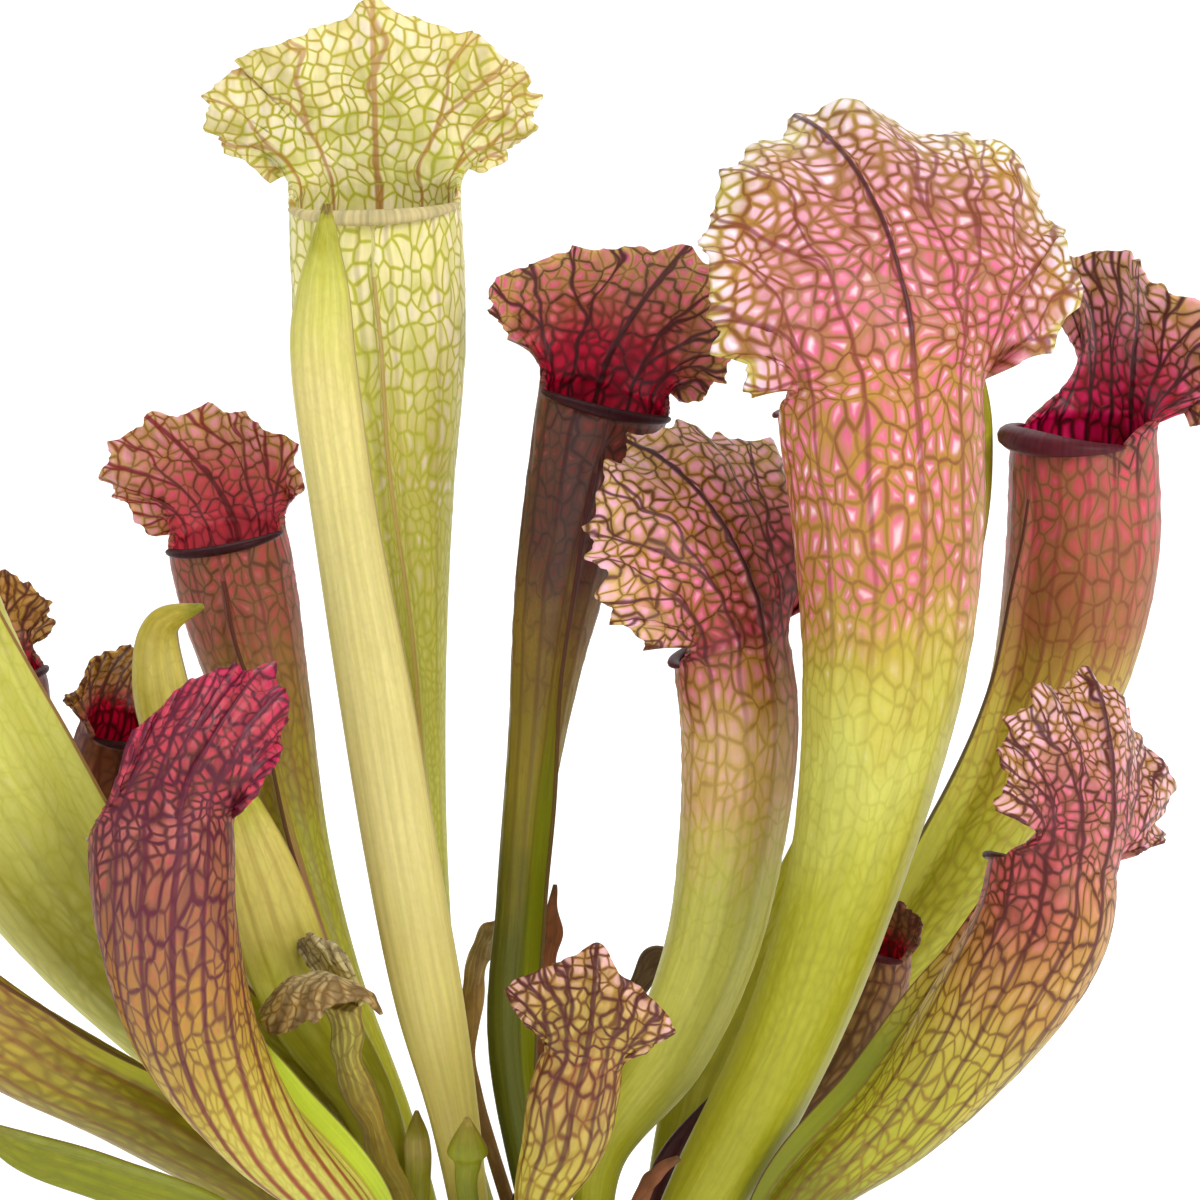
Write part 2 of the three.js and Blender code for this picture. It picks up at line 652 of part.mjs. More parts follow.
function openPitcher(leaf) {
  const body = new Body();
  const outer = pitcherWall(body, leaf, 0, 0, 1);
  const inner = pitcherWall(body, leaf, HOLLOW_FROM, WALL, -1);
  const inside = hoodEdge(inner);
  const chains = hoodEdge(outer).map((point, k) => [point, point, point, inside[k]]);
  for (let k = BACK_CELLS + 1; k < RING_CELLS; k += 1) {
    chains.push(lipChain(body, leaf, outer.mouth[k], inner.mouth[k], k));
  }
  body.rim(chains);
  return toSolid(body.geometry()).add(wingSolid(leaf));
}

// Ring of points round a leaf at a share of its length, larger than the leaf by grow
function ringAt(body, leaf, share, grow) {
  const frame = frameAt(leaf, share);
  const deep = Math.max(frame.half * roundAt(leaf, share), BLADE / 2) + grow;
  const ring = [];
  for (let k = 0; k < leaf.sides; k += 1) {
    const angle = (2 * Math.PI * k) / leaf.sides;
    const across = (frame.half + grow) * Math.sin(angle);
    ring.push(body.add(placeIn(frame, across, -deep * Math.cos(angle), 0)));
  }
  return ring;
}

// A flat leaf is nearly round where it leaves the rhizome
function roundAt(leaf, share) {
  return mix(Math.max(leaf.round, 0.8), leaf.round, smooth(share, 0, 0.25));
}

// A leaf closed all round, from a flat base to a point or to a flat top
function closedLeaf(leaf, flatTop = false) {
  const body = new Body();
  const rings = [];
  for (let j = 0; j < leaf.rows; j += 1) rings.push(ringAt(body, leaf, j / leaf.rows, 0));
  if (flatTop) rings.push(ringAt(body, leaf, 1, 0));
  loft(body, rings, true);
  body.cap(rings[0], true);
  const last = rings[rings.length - 1];
  if (flatTop) {
    body.cap(last, false);
  } else {
    const tip = body.add(leaf.axis.getPoint(1));
    last.forEach((point, k) => body.face(point, tip, last[(k + 1) % last.length]));
  }
  return toSolid(body.geometry());
}

// A withered pitcher: its dried hood stands in the flat top of its stalk
function witheredLeaf(leaf) {
  const down = frameAt(leaf, 1).up.multiplyScalar(-HOOD_SINK);
  const middle = (u, v) => hoodMiddle(leaf, u, v).add(down);
  return closedLeaf(leaf, true).add(sheetSolid(middle, leaf.hood.cells, leaf.hood.rows, BLADE));
}

// The lower part of a leaf, larger by the clearance, which its socket is cut with
function socketSolid(leaf) {
  const body = new Body();
  const shaped = { sides: RING_CELLS, ...leaf };
  const rings = [];
  let share = 0;
  while (rings.length < 2 || leaf.axis.getPoint(share - 1 / leaf.rows).z < SOCKET_TOP) {
    rings.push(ringAt(body, shaped, share, SOCKET_GAP));
    share += 1 / leaf.rows;
  }
  const up = frameAt(leaf, 0).up;
  for (const point of rings[0]) body.points[point].addScaledVector(up, -SOCKET_GAP);
  loft(body, rings, true);
  body.cap(rings[0], true);
  body.cap(rings[rings.length - 1], false);
  return toSolid(body.geometry());
}

function ellipsoid([x, y, z], [rx, ry, rz]) {
  const geometry = new THREE.SphereGeometry(1, 14, 8);
  geometry.rotateX(Math.PI / 2);
  geometry.scale(rx, ry, rz);
  geometry.translate(x, y, z);
  return toSolid(geometry);
}

// Roots run out from under the rhizome and lie along the ground
function rootSolid(index) {
  const turn = (2 * Math.PI * index) / ROOTS + 0.25 * Math.sin(5.3 * index);
  const reach = MAT_PROFILE[2][0] + ROOT_REACH * (0.75 + 0.25 * Math.sin(2.9 * index));
  const at = (share, z, sway) => {
    const way = turn + 0.16 * sway * Math.sin(3.7 * index);
    return [reach * share * MAT_STRETCH * Math.cos(way), reach * share * Math.sin(way), z];
  };
  const knots = [
    [...at(0.35, 12, 0), ROOT_HALF], [...at(0.62, 8, 0.5), ROOT_HALF],
    [...at(0.85, 1.8, -0.6), ROOT_HALF * 0.9], [...at(1, 0.9, 0.8), 0.7],
  ];
  return closedLeaf(withAxis({ knots, face: 180, round: 1, sides: ROOT_SIDES, rows: ROOT_STEPS }));
}

function rhizomeSolid(leaves) {
  const profile = MAT_PROFILE.map(([x, z]) => new THREE.Vector2(x, z));
  const mat = new THREE.LatheGeometry(profile, MAT_SIDES);
  mat.rotateX(Math.PI / 2);
  const places = mat.attributes.position;
  for (let k = 0; k < places.count; k += 1) {
    const way = Math.atan2(places.getY(k), places.getX(k));
    const swell = 1 + MAT_LUMPS * (0.6 * Math.sin(3 * way + 1) + 0.4 * Math.sin(7 * way));
    places.setX(k, places.getX(k) * swell * MAT_STRETCH);
    places.setY(k, places.getY(k) * swell);
  }
  let solid = toSolid(mat);
  for (const [centre, radii] of GROWING_POINTS) solid = solid.add(ellipsoid(centre, radii));
  for (let k = 0; k < ROOTS; k += 1) solid = solid.add(rootSolid(k));
  const ground = new THREE.BoxGeometry(400, 400, 40).translate(0, 0, -20);
  solid = solid.subtract(toSolid(ground));
  for (const leaf of leaves) solid = solid.subtract(socketSolid(leaf));
  return solid;
}

const group = new THREE.Group();
const pitchers = PITCHERS.map(withAxis);
const closed = CLOSED_LEAVES.map(withAxis);
const withered = withAxis(WITHERED);
for (const leaf of pitchers) group.add(toMesh(openPitcher(leaf), leaf.name, leaf.colour, 0.45));
for (const leaf of closed) group.add(toMesh(closedLeaf(leaf), leaf.name, leaf.colour, 0.5));
group.add(toMesh(witheredLeaf(withered), withered.name, withered.colour, 0.8));
const rhizome = rhizomeSolid([...pitchers, ...closed, withered]);
group.add(toMesh(rhizome, "rhizome_and_roots", RHIZOME_COLOUR, 0.85));

export default group;
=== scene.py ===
"""Trumpet pitcher plant: every leaf as a fine mesh with its veins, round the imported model.

The leaves' forms follow the same rules and values as the solids, in millimetres and degrees.
A leaf's mesh keeps two vectors at its points: "surface" follows the skin at an even scale, for the
net of veins, and "flow" runs from side to side and from base to margin, for the main veins and
colours. Beside them it keeps the numbers "scale", "wing" and "relief".
"""
import math
from dataclasses import dataclass, replace

import bpy
import numpy as np
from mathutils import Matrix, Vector


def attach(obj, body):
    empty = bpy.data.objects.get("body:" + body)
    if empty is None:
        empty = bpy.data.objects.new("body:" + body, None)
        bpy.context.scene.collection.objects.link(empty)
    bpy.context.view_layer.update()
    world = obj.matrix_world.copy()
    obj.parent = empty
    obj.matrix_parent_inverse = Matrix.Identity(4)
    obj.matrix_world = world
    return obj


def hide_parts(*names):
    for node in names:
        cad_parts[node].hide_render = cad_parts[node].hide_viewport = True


bl_info = {
    "name": "Trumpet pitcher plant",
    "version": (1, 0, 0),
    "blender": (4, 5, 0),
    "location": "View3D > Sidebar > Pitcher plant",
    "description": "Builds a clump of trumpet pitchers on its rhizome",
    "category": "Object",
}

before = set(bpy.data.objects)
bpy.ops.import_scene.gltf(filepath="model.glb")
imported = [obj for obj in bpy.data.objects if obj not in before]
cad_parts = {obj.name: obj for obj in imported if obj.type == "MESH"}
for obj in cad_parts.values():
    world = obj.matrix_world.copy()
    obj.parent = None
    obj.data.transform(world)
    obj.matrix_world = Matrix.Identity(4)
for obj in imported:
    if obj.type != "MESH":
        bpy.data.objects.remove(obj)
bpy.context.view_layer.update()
MM = 0.001

# The mouth's edge carries the hood over this half angle, and the lip over the rest
NECK = math.radians(100)
# Shares of a tube's length where its wing starts and ends, and where its hollow starts
WING_FROM, WING_TO, HOLLOW_FROM = 0.12, 0.96, 0.33
# Thickness of the wall, the hood's margin and its keel, and half that of a wing's foot and edge
WALL, HOOD_MARGIN, KEEL, WING_FOOT, WING_EDGE = 1.2, 0.5, 0.8, 1.6, 0.4
# Columns and rows of the meshes at a fineness of 1
BACK_COLUMNS, FRONT_COLUMNS, TUBE_ROWS, HOLLOW_ROWS, HOOD_ROWS = 60, 22, 100, 34, 60
CLOSED_COLUMNS, CLOSED_ROWS, STALK_COLUMNS, STALK_ROWS, SHEET_COLUMNS = 22, 110, 20, 80, 70
# Heights of the columns that climb a wing, in parts of the wing
WING_COLUMNS = np.array([0.15, 0.35, 0.6, 0.82, 0.95, 1.0])
# First seed of each kind of closed leaf
CLOSED_SEED, DRIED_SEED, WITHERED_SEED = 20, 40, 60
# The withered pitcher: half widths of its stalk and of its shrivelled sheet, as its veins take
# them, and the spread of the sheet's main veins and its thickness
STALK_HALF, SHEET_HALF, SHEET_SPREAD, SHEET_WALL = 4, 8, 12, 0.9


@dataclass
class Hood:
    """A hood's form: its fan, how it leans and cups, and its ruffled margin."""

    width: float
    height: float
    centre: float
    lobe: float
    fan: float
    lean: float
    cup: float
    notch: float
    pinch: float
    spike: float
    scallop: float
    ruffle: float
    teeth: float
    fold: float = 0
    skew: float = 0
    turn: float = 0
    sway: float = 0
    apex: float = 0
    veer: float = 0


@dataclass
class Leaf:
    """A leaf's axis as knots of x, y, z and half width, and the way that it faces."""

    name: str
    knots: list
    faces: tuple
    round: float
    look: str
    slot: str
    drop: float = 0
    wing: float = 0
    lip: float = 0
    hood: Hood = None
    detail: float = 1
    crumple: float = 0
    flare: float = 0
    seed: int = 0


OPEN_PITCHERS = [
    Leaf(
        "pitcher_tall_green",
        [
            (-9, 13, 27, 3), (-19, 18, 61, 3.7), (-24, 27, 103, 4.7), (-27, 32, 144, 7),
            (-31, 36, 184, 12.7), (-33, 38, 217, 17.3), (-34, 35, 247, 17.6),
        ],
        (20, 0), 0.85, "cream_green", "pitcher_green", drop=1.5, wing=4, lip=1.5,
        hood=Hood(
            width=33.5, height=34, centre=17, lobe=20, fan=140, lean=-6, cup=-3, notch=5,
            pinch=0.95, spike=4.5, scallop=0.05, ruffle=2, teeth=12, skew=-0.06, apex=3,
        ),
        flare=0.3,
    ),
    Leaf(
        "pitcher_maroon",
        [
            (1, 8, 27, 3), (-7, 11, 73, 4.2), (-5, 16, 105, 4.5), (-1, 19, 138, 5.9),
            (4, 22, 170, 9.3), (13, 22, 208, 13.6),
        ],
        (60, 8), 0.85, "maroon", "pitcher_maroon", drop=2, wing=5, lip=1.5,
        hood=Hood(
            width=25, height=32, centre=13, lobe=14, fan=132, lean=12, cup=4, notch=5,
            pinch=0.9, spike=3, scallop=0.06, ruffle=2, teeth=9, skew=-0.1, turn=8, apex=11,
        ),
    ),
    Leaf(
        "pitcher_pink",
        [
            (11, -1, 27, 3), (12, 1, 54, 5.2), (26, 3, 76, 8.4), (35, 3, 99, 10),
            (39, 0, 124, 11.4), (40, -3, 145, 12.4), (38, -5, 162, 12.4),
        ],
        (-150, -140), 0.85, "pink_brown", "pitcher_pink", drop=3, wing=4, lip=1.3,
        hood=Hood(
            width=30, height=51, centre=22, lobe=24, fan=126, lean=62, cup=7, notch=6,
            pinch=1, spike=3, scallop=0.04, ruffle=1.8, teeth=12, veer=0.08,
        ),
    ),
    Leaf(
        "pitcher_large_pink",
        [
            (19, -12, 27, 3.4), (34, -15, 52, 8.4), (50, -22, 87, 9.8), (61, -24, 122, 11.8),
            (67, -27, 157, 15.7), (68, -28, 187, 18.6), (66, -27, 215, 20.2),
        ],
        (-160, -160), 0.9, "pink_white", "pitcher_pink", drop=4, wing=5, lip=1.6,
        hood=Hood(
            width=39, height=69, centre=28, lobe=37, fan=128, lean=68, cup=9, notch=7,
            pinch=1, spike=5, scallop=0.035, ruffle=2.2, teeth=12, skew=-0.1, turn=2, veer=0.13,
        ),
    ),
    Leaf(
        "pitcher_right_crimson",
        [
            (34, 12, 27, 3), (49, 28, 55, 5.7), (71, 43, 78, 7.8), (93, 50, 109, 9.5),
            (107, 51, 139, 13.4), (113, 51, 168, 15.8), (113, 49, 197, 15.2),
        ],
        (-70, -50), 1, "crimson", "pitcher_crimson", drop=1, wing=6, lip=1.9,
        hood=Hood(
            width=26, height=35, centre=17, lobe=16, fan=126, lean=14, cup=-5, notch=8,
            pinch=0.8, spike=2, scallop=0.06, ruffle=2.2, teeth=9, turn=18,
        ),
        flare=0.7,
    ),
    Leaf(
        "pitcher_left_ochre",
        [
            (-21, 11, 27, 3), (-31, 19, 57, 4.1), (-43, 35, 83, 4.9), (-52, 46, 109, 6.8),
            (-59, 54, 138, 9.8), (-64, 58, 158, 12.4), (-67, 58, 174, 12.8),
        ],
        (10, -8), 0.85, "ochre_pink", "pitcher_ochre", drop=2, wing=3.5, lip=1.3,
        hood=Hood(
            width=20.5, height=26, centre=13, lobe=17, fan=132, lean=8, cup=2, notch=4,
            pinch=0.9, spike=2, scallop=0.06, ruffle=1.6, teeth=9, skew=-0.36, turn=-10, apex=-1,
        ),
    ),
    Leaf(
        "pitcher_left_purple",
        [
            (-27, -19, 27, 3), (-37, -29, 50, 5.1), (-54, -43, 72, 8.5), (-66, -51, 95, 11.9),
            (-71, -54, 118, 13.4), (-72, -51, 136, 13.9),
        ],
        (110, 200), 1, "purple", "pitcher_purple", drop=4, wing=6, lip=1,
        hood=Hood(
            width=15, height=29, centre=13, lobe=12, fan=116, lean=22, cup=3, notch=3,
            pinch=0.9, spike=3, scallop=0.05, ruffle=1.5, teeth=7, skew=-0.45, turn=-26, sway=5,
        ),
    ),
    Leaf(
        "pitcher_small_front",
        [
            (4, -17, 27, 2.8), (0, -34, 53, 4.7), (5, -45, 71, 8.1), (7, -50, 82, 8.5),
            (9, -51, 90, 7.7),
        ],
        (180, 180), 0.85, "ochre_green", "pitcher_ochre", drop=2, wing=2.5, lip=1,
        hood=Hood(
            width=15, height=21, centre=9, lobe=9, fan=120, lean=30, cup=4, notch=3,
            pinch=0.9, spike=2, scallop=0.32, ruffle=1.3, teeth=3, skew=0.12,
        ),
        detail=0.7,
    ),
    Leaf(
        "pitcher_right_low",
        [
            (36, -15, 27, 3), (52, -28, 54, 5.9), (71, -33, 72, 8.8), (87, -34, 92, 12),
            (98, -31, 109, 13.2), (101, -28, 123, 12.6),
        ],
        (-95, -135), 1, "brown_net", "pitcher_crimson", drop=2, wing=5, lip=1.2,
        hood=Hood(
            width=27, height=38, centre=16, lobe=15, fan=122, lean=34, cup=0, notch=5,
            pinch=0.9, spike=2, scallop=0.06, ruffle=1.8, teeth=9, fold=6,
        ),
    ),
    Leaf(
        "pitcher_far_left",
        [
            (-40, 15, 24, 2.8), (-51, 30, 52, 4.9), (-79, 44, 77, 7), (-100, 51, 106, 8.3),
            (-111, 51, 129, 9.1), (-114, 51, 146, 9.1),
        ],
        (60, 30), 0.85, "dull_brown", "pitcher_brown", drop=2, wing=3, lip=1.2,
        hood=Hood(
            width=15, height=20, centre=9, lobe=9, fan=128, lean=10, cup=2, notch=3,
            pinch=0.85, spike=2, scallop=0.07, ruffle=1.3, teeth=9,
        ),
        detail=0.7,
    ),
    Leaf(
        "pitcher_small_left_back",
        [
            (-42, 4, 25, 2.6), (-50, 18, 60, 4), (-74, 26, 85, 6.1), (-87, 24, 109, 7.7),
            (-90, 22, 127, 8.5), (-87, 19, 141, 8.1),
        ],
        (50, 52), 0.85, "dull_brown", "pitcher_ochre", drop=2, wing=2.5, lip=1,
        hood=Hood(
            width=12, height=17, centre=8, lobe=7, fan=122, lean=30, cup=2, notch=3,
            pinch=0.85, spike=1.5, scallop=0.07, ruffle=1, teeth=6,
        ),
        detail=0.7,
    ),
    Leaf(
        "pitcher_left_light",
        [
            (-36, -4, 27, 3.4), (-48, 0, 59, 9.1), (-73, -5, 85, 12), (-95, -11, 112, 14.5),
            (-114, -11, 144, 17.5), (-127, -8, 171, 19), (-132, -5, 195, 18.5),
        ],
        (90, 60), 1, "light_green", "pitcher_green", drop=3, wing=5, lip=1.6,
        hood=Hood(
            width=32, height=40, centre=16, lobe=17, fan=134, lean=10, cup=2, notch=5,
            pinch=0.9, spike=3, scallop=0.05, ruffle=2, teeth=9,
        ),
    ),
    Leaf(
        "pitcher_left_olive",
        [
            (-39, -14, 26, 2.8), (-55, -21, 53, 6.6), (-80, -32, 74, 8.1),
            (-102, -40, 89, 9.3), (-119, -43, 103, 10.1), (-127, -40, 117, 9.7),
        ],
        (90, 70), 1, "olive_brown", "pitcher_brown", drop=2, wing=4, lip=1.1,
        hood=Hood(
            width=17, height=24, centre=10, lobe=10, fan=126, lean=12, cup=2, notch=4,
            pinch=0.85, spike=2, scallop=0.06, ruffle=1.4, teeth=9,
        ),
        detail=0.7,
    ),
    Leaf(
        "pitcher_dying_brown",
        [(31, 0, 27, 2.4), (47, 9, 54, 3.6), (61, 18, 70, 6.1), (68, 20, 85, 7.5), (70, 19, 94, 6.9)],
        (-50, -40), 0.8, "dying", "pitcher_brown", drop=1, wing=2.5, lip=1,
        hood=Hood(
            width=6.5, height=10, centre=6, lobe=5, fan=116, lean=30, cup=1, notch=2,
            pinch=0.85, spike=1.5, scallop=0.07, ruffle=0.7, teeth=6, apex=1,
        ),
        detail=0.5,
    ),
]

CLOSED_LEAVES = [
    Leaf(
        "leaf_unopened_cream",
        [
            (-12, -4, 27, 3), (-17, -15, 66, 4.9), (-22, -20, 93, 6.9), (-27, -20, 121, 7.3),
            (-32, -19, 153, 7.3), (-38, -16, 189, 6.5), (-42, -14, 219, 6.5),
            (-42, -14, 234, 5.1), (-41, -14, 252, 0.4),
        ],
        (0, 0), 0.72, "cream_leaf", "leaf_cream",
    ),
    Leaf(
        "leaf_unopened_curled",
        [
            (-32, 8, 27, 2.4), (-36, 11, 60, 3), (-55, 14, 89, 5.6), (-66, 8, 115, 6.8),
            (-73, 3, 139, 6.4), (-76, -3, 154, 5.6), (-75, -7, 166, 3.6), (-66, -11, 171, 0.4),
        ],
        (0, 0), 0.72, "olive_leaf", "leaf_olive",
    ),
    Leaf(
        "leaf_flat_green",
        [
            (-25, 1, 27, 2.8), (-34, -4, 64, 5.6), (-47, -12, 90, 8.3), (-55, -16, 115, 7.9),
            (-60, -18, 132, 4.8), (-62, -18, 141, 0.4),
        ],
        (10, 10), 0.34, "green_leaf", "leaf_green",
    ),
    Leaf(
        "leaf_narrow_back",
        [
            (22, 14, 27, 2.8), (33, 32, 66, 5.7), (54, 43, 99, 6.8), (75, 49, 143, 6.2),
            (86, 49, 172, 6.2), (90, 49, 197, 4.1), (90, 46, 215, 0.4),
        ],
        (10, 10), 0.34, "green_leaf", "leaf_green",
    ),
    Leaf(
        "leaf_low_green",
        [
            (-33, -28, 24, 2.4), (-59, -44, 53, 3.8), (-83, -51, 65, 4.6), (-99, -55, 72, 3.8),
            (-109, -57, 79, 0.4),
        ],
        (20, 20), 0.34, "dark_green_leaf", "leaf_green",
    ),
    Leaf(
        "leaf_young_tip",
        [(-9, -18, 26, 2), (-14, -32, 55, 2.1), (-14, -36, 64, 2.7), (-14, -37, 67, 4), (-14, -38, 74, 0.4)],
        (0, 0), 0.6, "dark_green_leaf", "leaf_green",
    ),
    Leaf(
        "leaf_bud",
        [(-27, -8, 27, 2.2), (-25, -7, 51, 2.6), (-25, -7, 60, 2.6), (-25, -9, 67, 0.4)],
        (0, 0), 0.8, "green_leaf", "leaf_green",
    ),
    Leaf(
        "leaf_base_dark_centre",
        [(21, 1, 27, 2.4), (25, 5, 50, 2.6), (37, 5, 68, 0.8)],
        (0, 0), 0.6, "dark_base", "leaf_base_dark",
    ),
    Leaf(
        "leaf_base_dark_right",
        [(27, -5, 27, 2.4), (43, -1, 47, 2.8), (56, -2, 63, 0.8)],
        (0, 0), 0.6, "dark_base", "leaf_base_dark",
    ),
]

DRIED_LEAVES = [
    Leaf(
        "leaf_dried_rust",
        [(6, 18, 25, 1.6), (-2, 26, 59, 2), (1, 32, 89, 2.5), (2, 35, 103, 0.4)],
        (10, 10), 0.4, "dried_rust", "leaf_dry", crumple=0.5,
    ),
    Leaf(
        "leaf_dried_beige",
        [(-3, 22, 24, 1.6), (-15, 32, 63, 1.5), (-15, 37, 80, 3), (-12, 35, 91, 3), (-8, 32, 96, 0.4)],
        (10, 10), 0.35, "dried_beige", "leaf_dry", crumple=0.7,
    ),
    Leaf(
        "leaf_dried_grey",
        [(13, 9, 27, 1.6), (14, 17, 62, 1.5), (19, 21, 82, 2), (23, 20, 91, 2.6), (27, 16, 89, 0.4)],
        (-20, -20), 0.4, "dried_grey", "leaf_dry", crumple=0.6,
    ),
    Leaf(
        "leaf_dried_hook",
        [(10, -19, 25, 1.6), (20, -32, 55, 1.7), (23, -36, 62, 1.6), (27, -38, 66, 0.6)],
        (0, 0), 0.8, "dried_rust", "leaf_dry", crumple=0.4,
    ),
]

WITHERED = Leaf(
    "pitcher_withered",
    [(-19, -11, 27, 2.2), (-30, -17, 56, 2.7), (-37, -23, 78, 3.3), (-39, -26, 94, 4)],
    (0, -30), 0.7, "withered", "leaf_dry",
    hood=Hood(
        width=12, height=30, centre=12, lobe=9, fan=120, lean=165, cup=6, notch=2,
        pinch=1, spike=0, scallop=0.06, ruffle=0.8, teeth=5, apex=-4,
    ),
    crumple=0.5,
)
WITHERED_FLAP = Hood(
    width=7, height=13, centre=7, lobe=4, fan=75, lean=-12, cup=-1, notch=1,
    pinch=1, spike=0, scallop=0.1, ruffle=0.8, teeth=3, skew=-0.6,
)


def smooth(value, low, high):
    """Rises smoothly from 0 at low to 1 at high."""
    share = np.clip((np.asarray(value, float) - low) / (high - low), 0, 1)
    return share * share * (3 - 2 * share)


def mix(a, b, share):
    """Goes from a to b as share goes from 0 to 1."""
    return a + (b - a) * share


def unit(vectors):
    """Vectors at length 1."""
    return vectors / np.maximum(np.linalg.norm(vectors, axis=-1, keepdims=True), 1e-12)


def along(knots, shares):
    """Places on a smooth curve through the knots, at shares of its length."""
    knots = np.asarray(knots, float)
    place = np.clip(shares, 0, 1) * (len(knots) - 1)
    first = np.minimum(place.astype(int), len(knots) - 2)
    step = (place - first)[..., None]
    ends = [2 * knots[0] - knots[1]], [2 * knots[-1] - knots[-2]]
    held = np.concatenate([ends[0], knots, ends[1]])
    before, start, end, after = (held[first + k] for k in range(4))
    leave, arrive = (end - before) / 2, (after - start) / 2
    bend = -3 * start + 3 * end - 2 * leave - arrive
    twist = 2 * start - 2 * end + leave + arrive
    return start + step * (leave + step * (bend + step * twist))


@dataclass
class Sections:
    """Centre, directions and half width of a leaf at some shares of its length."""

    centre: np.ndarray
    up: np.ndarray
    front: np.ndarray
    side: np.ndarray
    half: np.ndarray

    def place(self, across, forward, rise):
        """Points at the given distances from the centre."""
        across, forward, rise = np.broadcast_arrays(across, forward, rise)
        point = self.centre + across[..., None] * self.side
        return point + forward[..., None] * self.front + rise[..., None] * self.up


def sections(leaf, shares):
    """The leaf's sections, one for each share, ready for a row of points each."""
    shares = np.atleast_1d(np.asarray(shares, float))
    knots = np.asarray(leaf.knots, float)
    step = 1e-4
    ahead = along(knots[:, :3], np.minimum(shares + step, 1))
    up = unit(ahead - along(knots[:, :3], np.maximum(shares - step, 0)))
    azimuth = np.radians(mix(leaf.faces[0], leaf.faces[1], smooth(shares, 0, 1)))
    facing = np.stack([np.sin(azimuth), -np.cos(azimuth), 0 * azimuth], -1)
    front = unit(facing - up * (facing * up).sum(-1, keepdims=True))
    side = np.cross(up, front)
    centre = along(knots[:, :3], shares)
    half = along(knots[:, 3:], shares)[:, 0]
    return Sections(centre[:, None], up[:, None], front[:, None], side[:, None], half[:, None])


def mouth_shift(leaf, shares, angle):
    """The mouth slopes down from the neck to the front of the lip."""
    return -leaf.drop * (0.5 - 0.5 * np.cos(angle)) * smooth(shares, 0.82, 1)


def tube_points(leaf, shares, angles, inset):
    """The wall of a tube, as rows of points at the given angles; 0 is the middle of the back."""
    cut = sections(leaf, shares)
    across = (cut.half - inset) * np.sin(angles)
    forward = -(cut.half * leaf.round - inset) * np.cos(angles)
    return cut.place(across, forward, mouth_shift(leaf, np.asarray(shares)[:, None], angles))


def ragged(u, seed):
    """An uneven wave from about -1 to 1, the same for the same seed."""
    chance = np.random.default_rng(seed)
    wave = np.zeros_like(u)
    for rate in (1.3, 2.9, 4.7, 7.9):
        wave = wave + np.sin(math.tau * (rate * u + chance.random())) / rate**0.6
    return wave / 1.9


def margin_wave(leaf, u):
    """How far the margin runs in and out: slow lobes with uneven points between them."""
    hood, seed = leaf.hood, leaf.seed
    place = u + 0.06 * ragged(u, seed + 9)
    points = (1 - abs(np.sin(math.pi * 0.5 * hood.teeth * place + seed))) ** 1.7
    points = points * (0.07 + 0.04 * ragged(1.4 * u, seed + 3))
    fine = (1 - abs(np.sin(math.pi * 1.7 * hood.teeth * place + seed))) ** 1.5
    small = 0.4 * hood.scallop * np.cos(math.pi * hood.teeth * place) + 0.022 * fine
    return 1 + small + points + 0.04 * ragged(u, seed + 1) - 0.02


def hood_path(leaf, u, v):
    """A hood flat before it leans: across and up from the middle of the mouth's back, and depth."""
    hood = leaf.hood
    half = leaf.knots[-1][3] - WALL / 2
    angle = u * NECK
    fan = (u + hood.veer * v * (1 - u * u)) * math.radians(hood.fan)
    wave = margin_wave(leaf, u)
    rise = np.where(np.cos(fan) > 0, hood.height - hood.centre, hood.lobe)
    start_x, start_z = half * np.sin(angle), mouth_shift(leaf, np.ones_like(u), angle)
    neck_z = mix(hood.height * 0.35, hood.notch, abs(u) ** 1.5)
    reach = hood.width * np.sin(fan) * wave + hood.apex * np.maximum(0, np.cos(fan))
    above = rise * np.cos(fan) * wave + hood.spike * np.exp(-((u / 0.06) ** 2))
    turn = math.radians(hood.turn)
    top = hood.centre + above * math.cos(turn) - reach * math.sin(turn)
    side = reach * math.cos(turn) + above * math.sin(turn) + hood.skew * top
    a, b, c = (1 - v) ** 2, 2 * v * (1 - v), v**2
    x = a * start_x + b * start_x * hood.pinch + c * side
    z = a * start_z + b * neck_z + c * top
    flat, spread = smooth(v, 0, 0.65), abs(x) / hood.width
    ripple = hood.ruffle * v**3 * np.sin(math.pi * hood.teeth * u / 2 + 0.7)
    ripple = ripple + 0.8 * hood.ruffle * v**5 * ragged(u * 1.7, leaf.seed + 5)
    pleats = np.cos(math.tau * u / LOOKS[leaf.look].gap) * (0.55 + 0.45 * ragged(1.3 * u, leaf.seed + 7))
    ripple = ripple - 0.22 * hood.ruffle * v**1.5 * (1 - v**6) * pleats
    arc = half * leaf.round * (1 - np.cos(angle))
    shape = hood.cup * spread**2 + hood.fold * spread + hood.sway * x / hood.width
    return x, z, arc * (1 - flat) + shape * flat + ripple


def hood_middle(leaf, u, v):
    """Middle surface of a hood: u runs across from -1 to 1, v from the neck to the margin."""
    mouth = sections(leaf, [1])
    x, z, depth = hood_path(leaf, u, v)
    bend = math.radians(leaf.hood.lean) / leaf.hood.height
    turned = bend * np.maximum(0, z)
    forward = (1 - np.cos(turned)) / bend + depth * np.cos(turned)
    rise = np.minimum(0, z) + np.sin(turned) / bend - depth * np.sin(turned)
    back = -(leaf.knots[-1][3] * leaf.round - WALL / 2)
    return mouth.place(x, back + forward, rise)


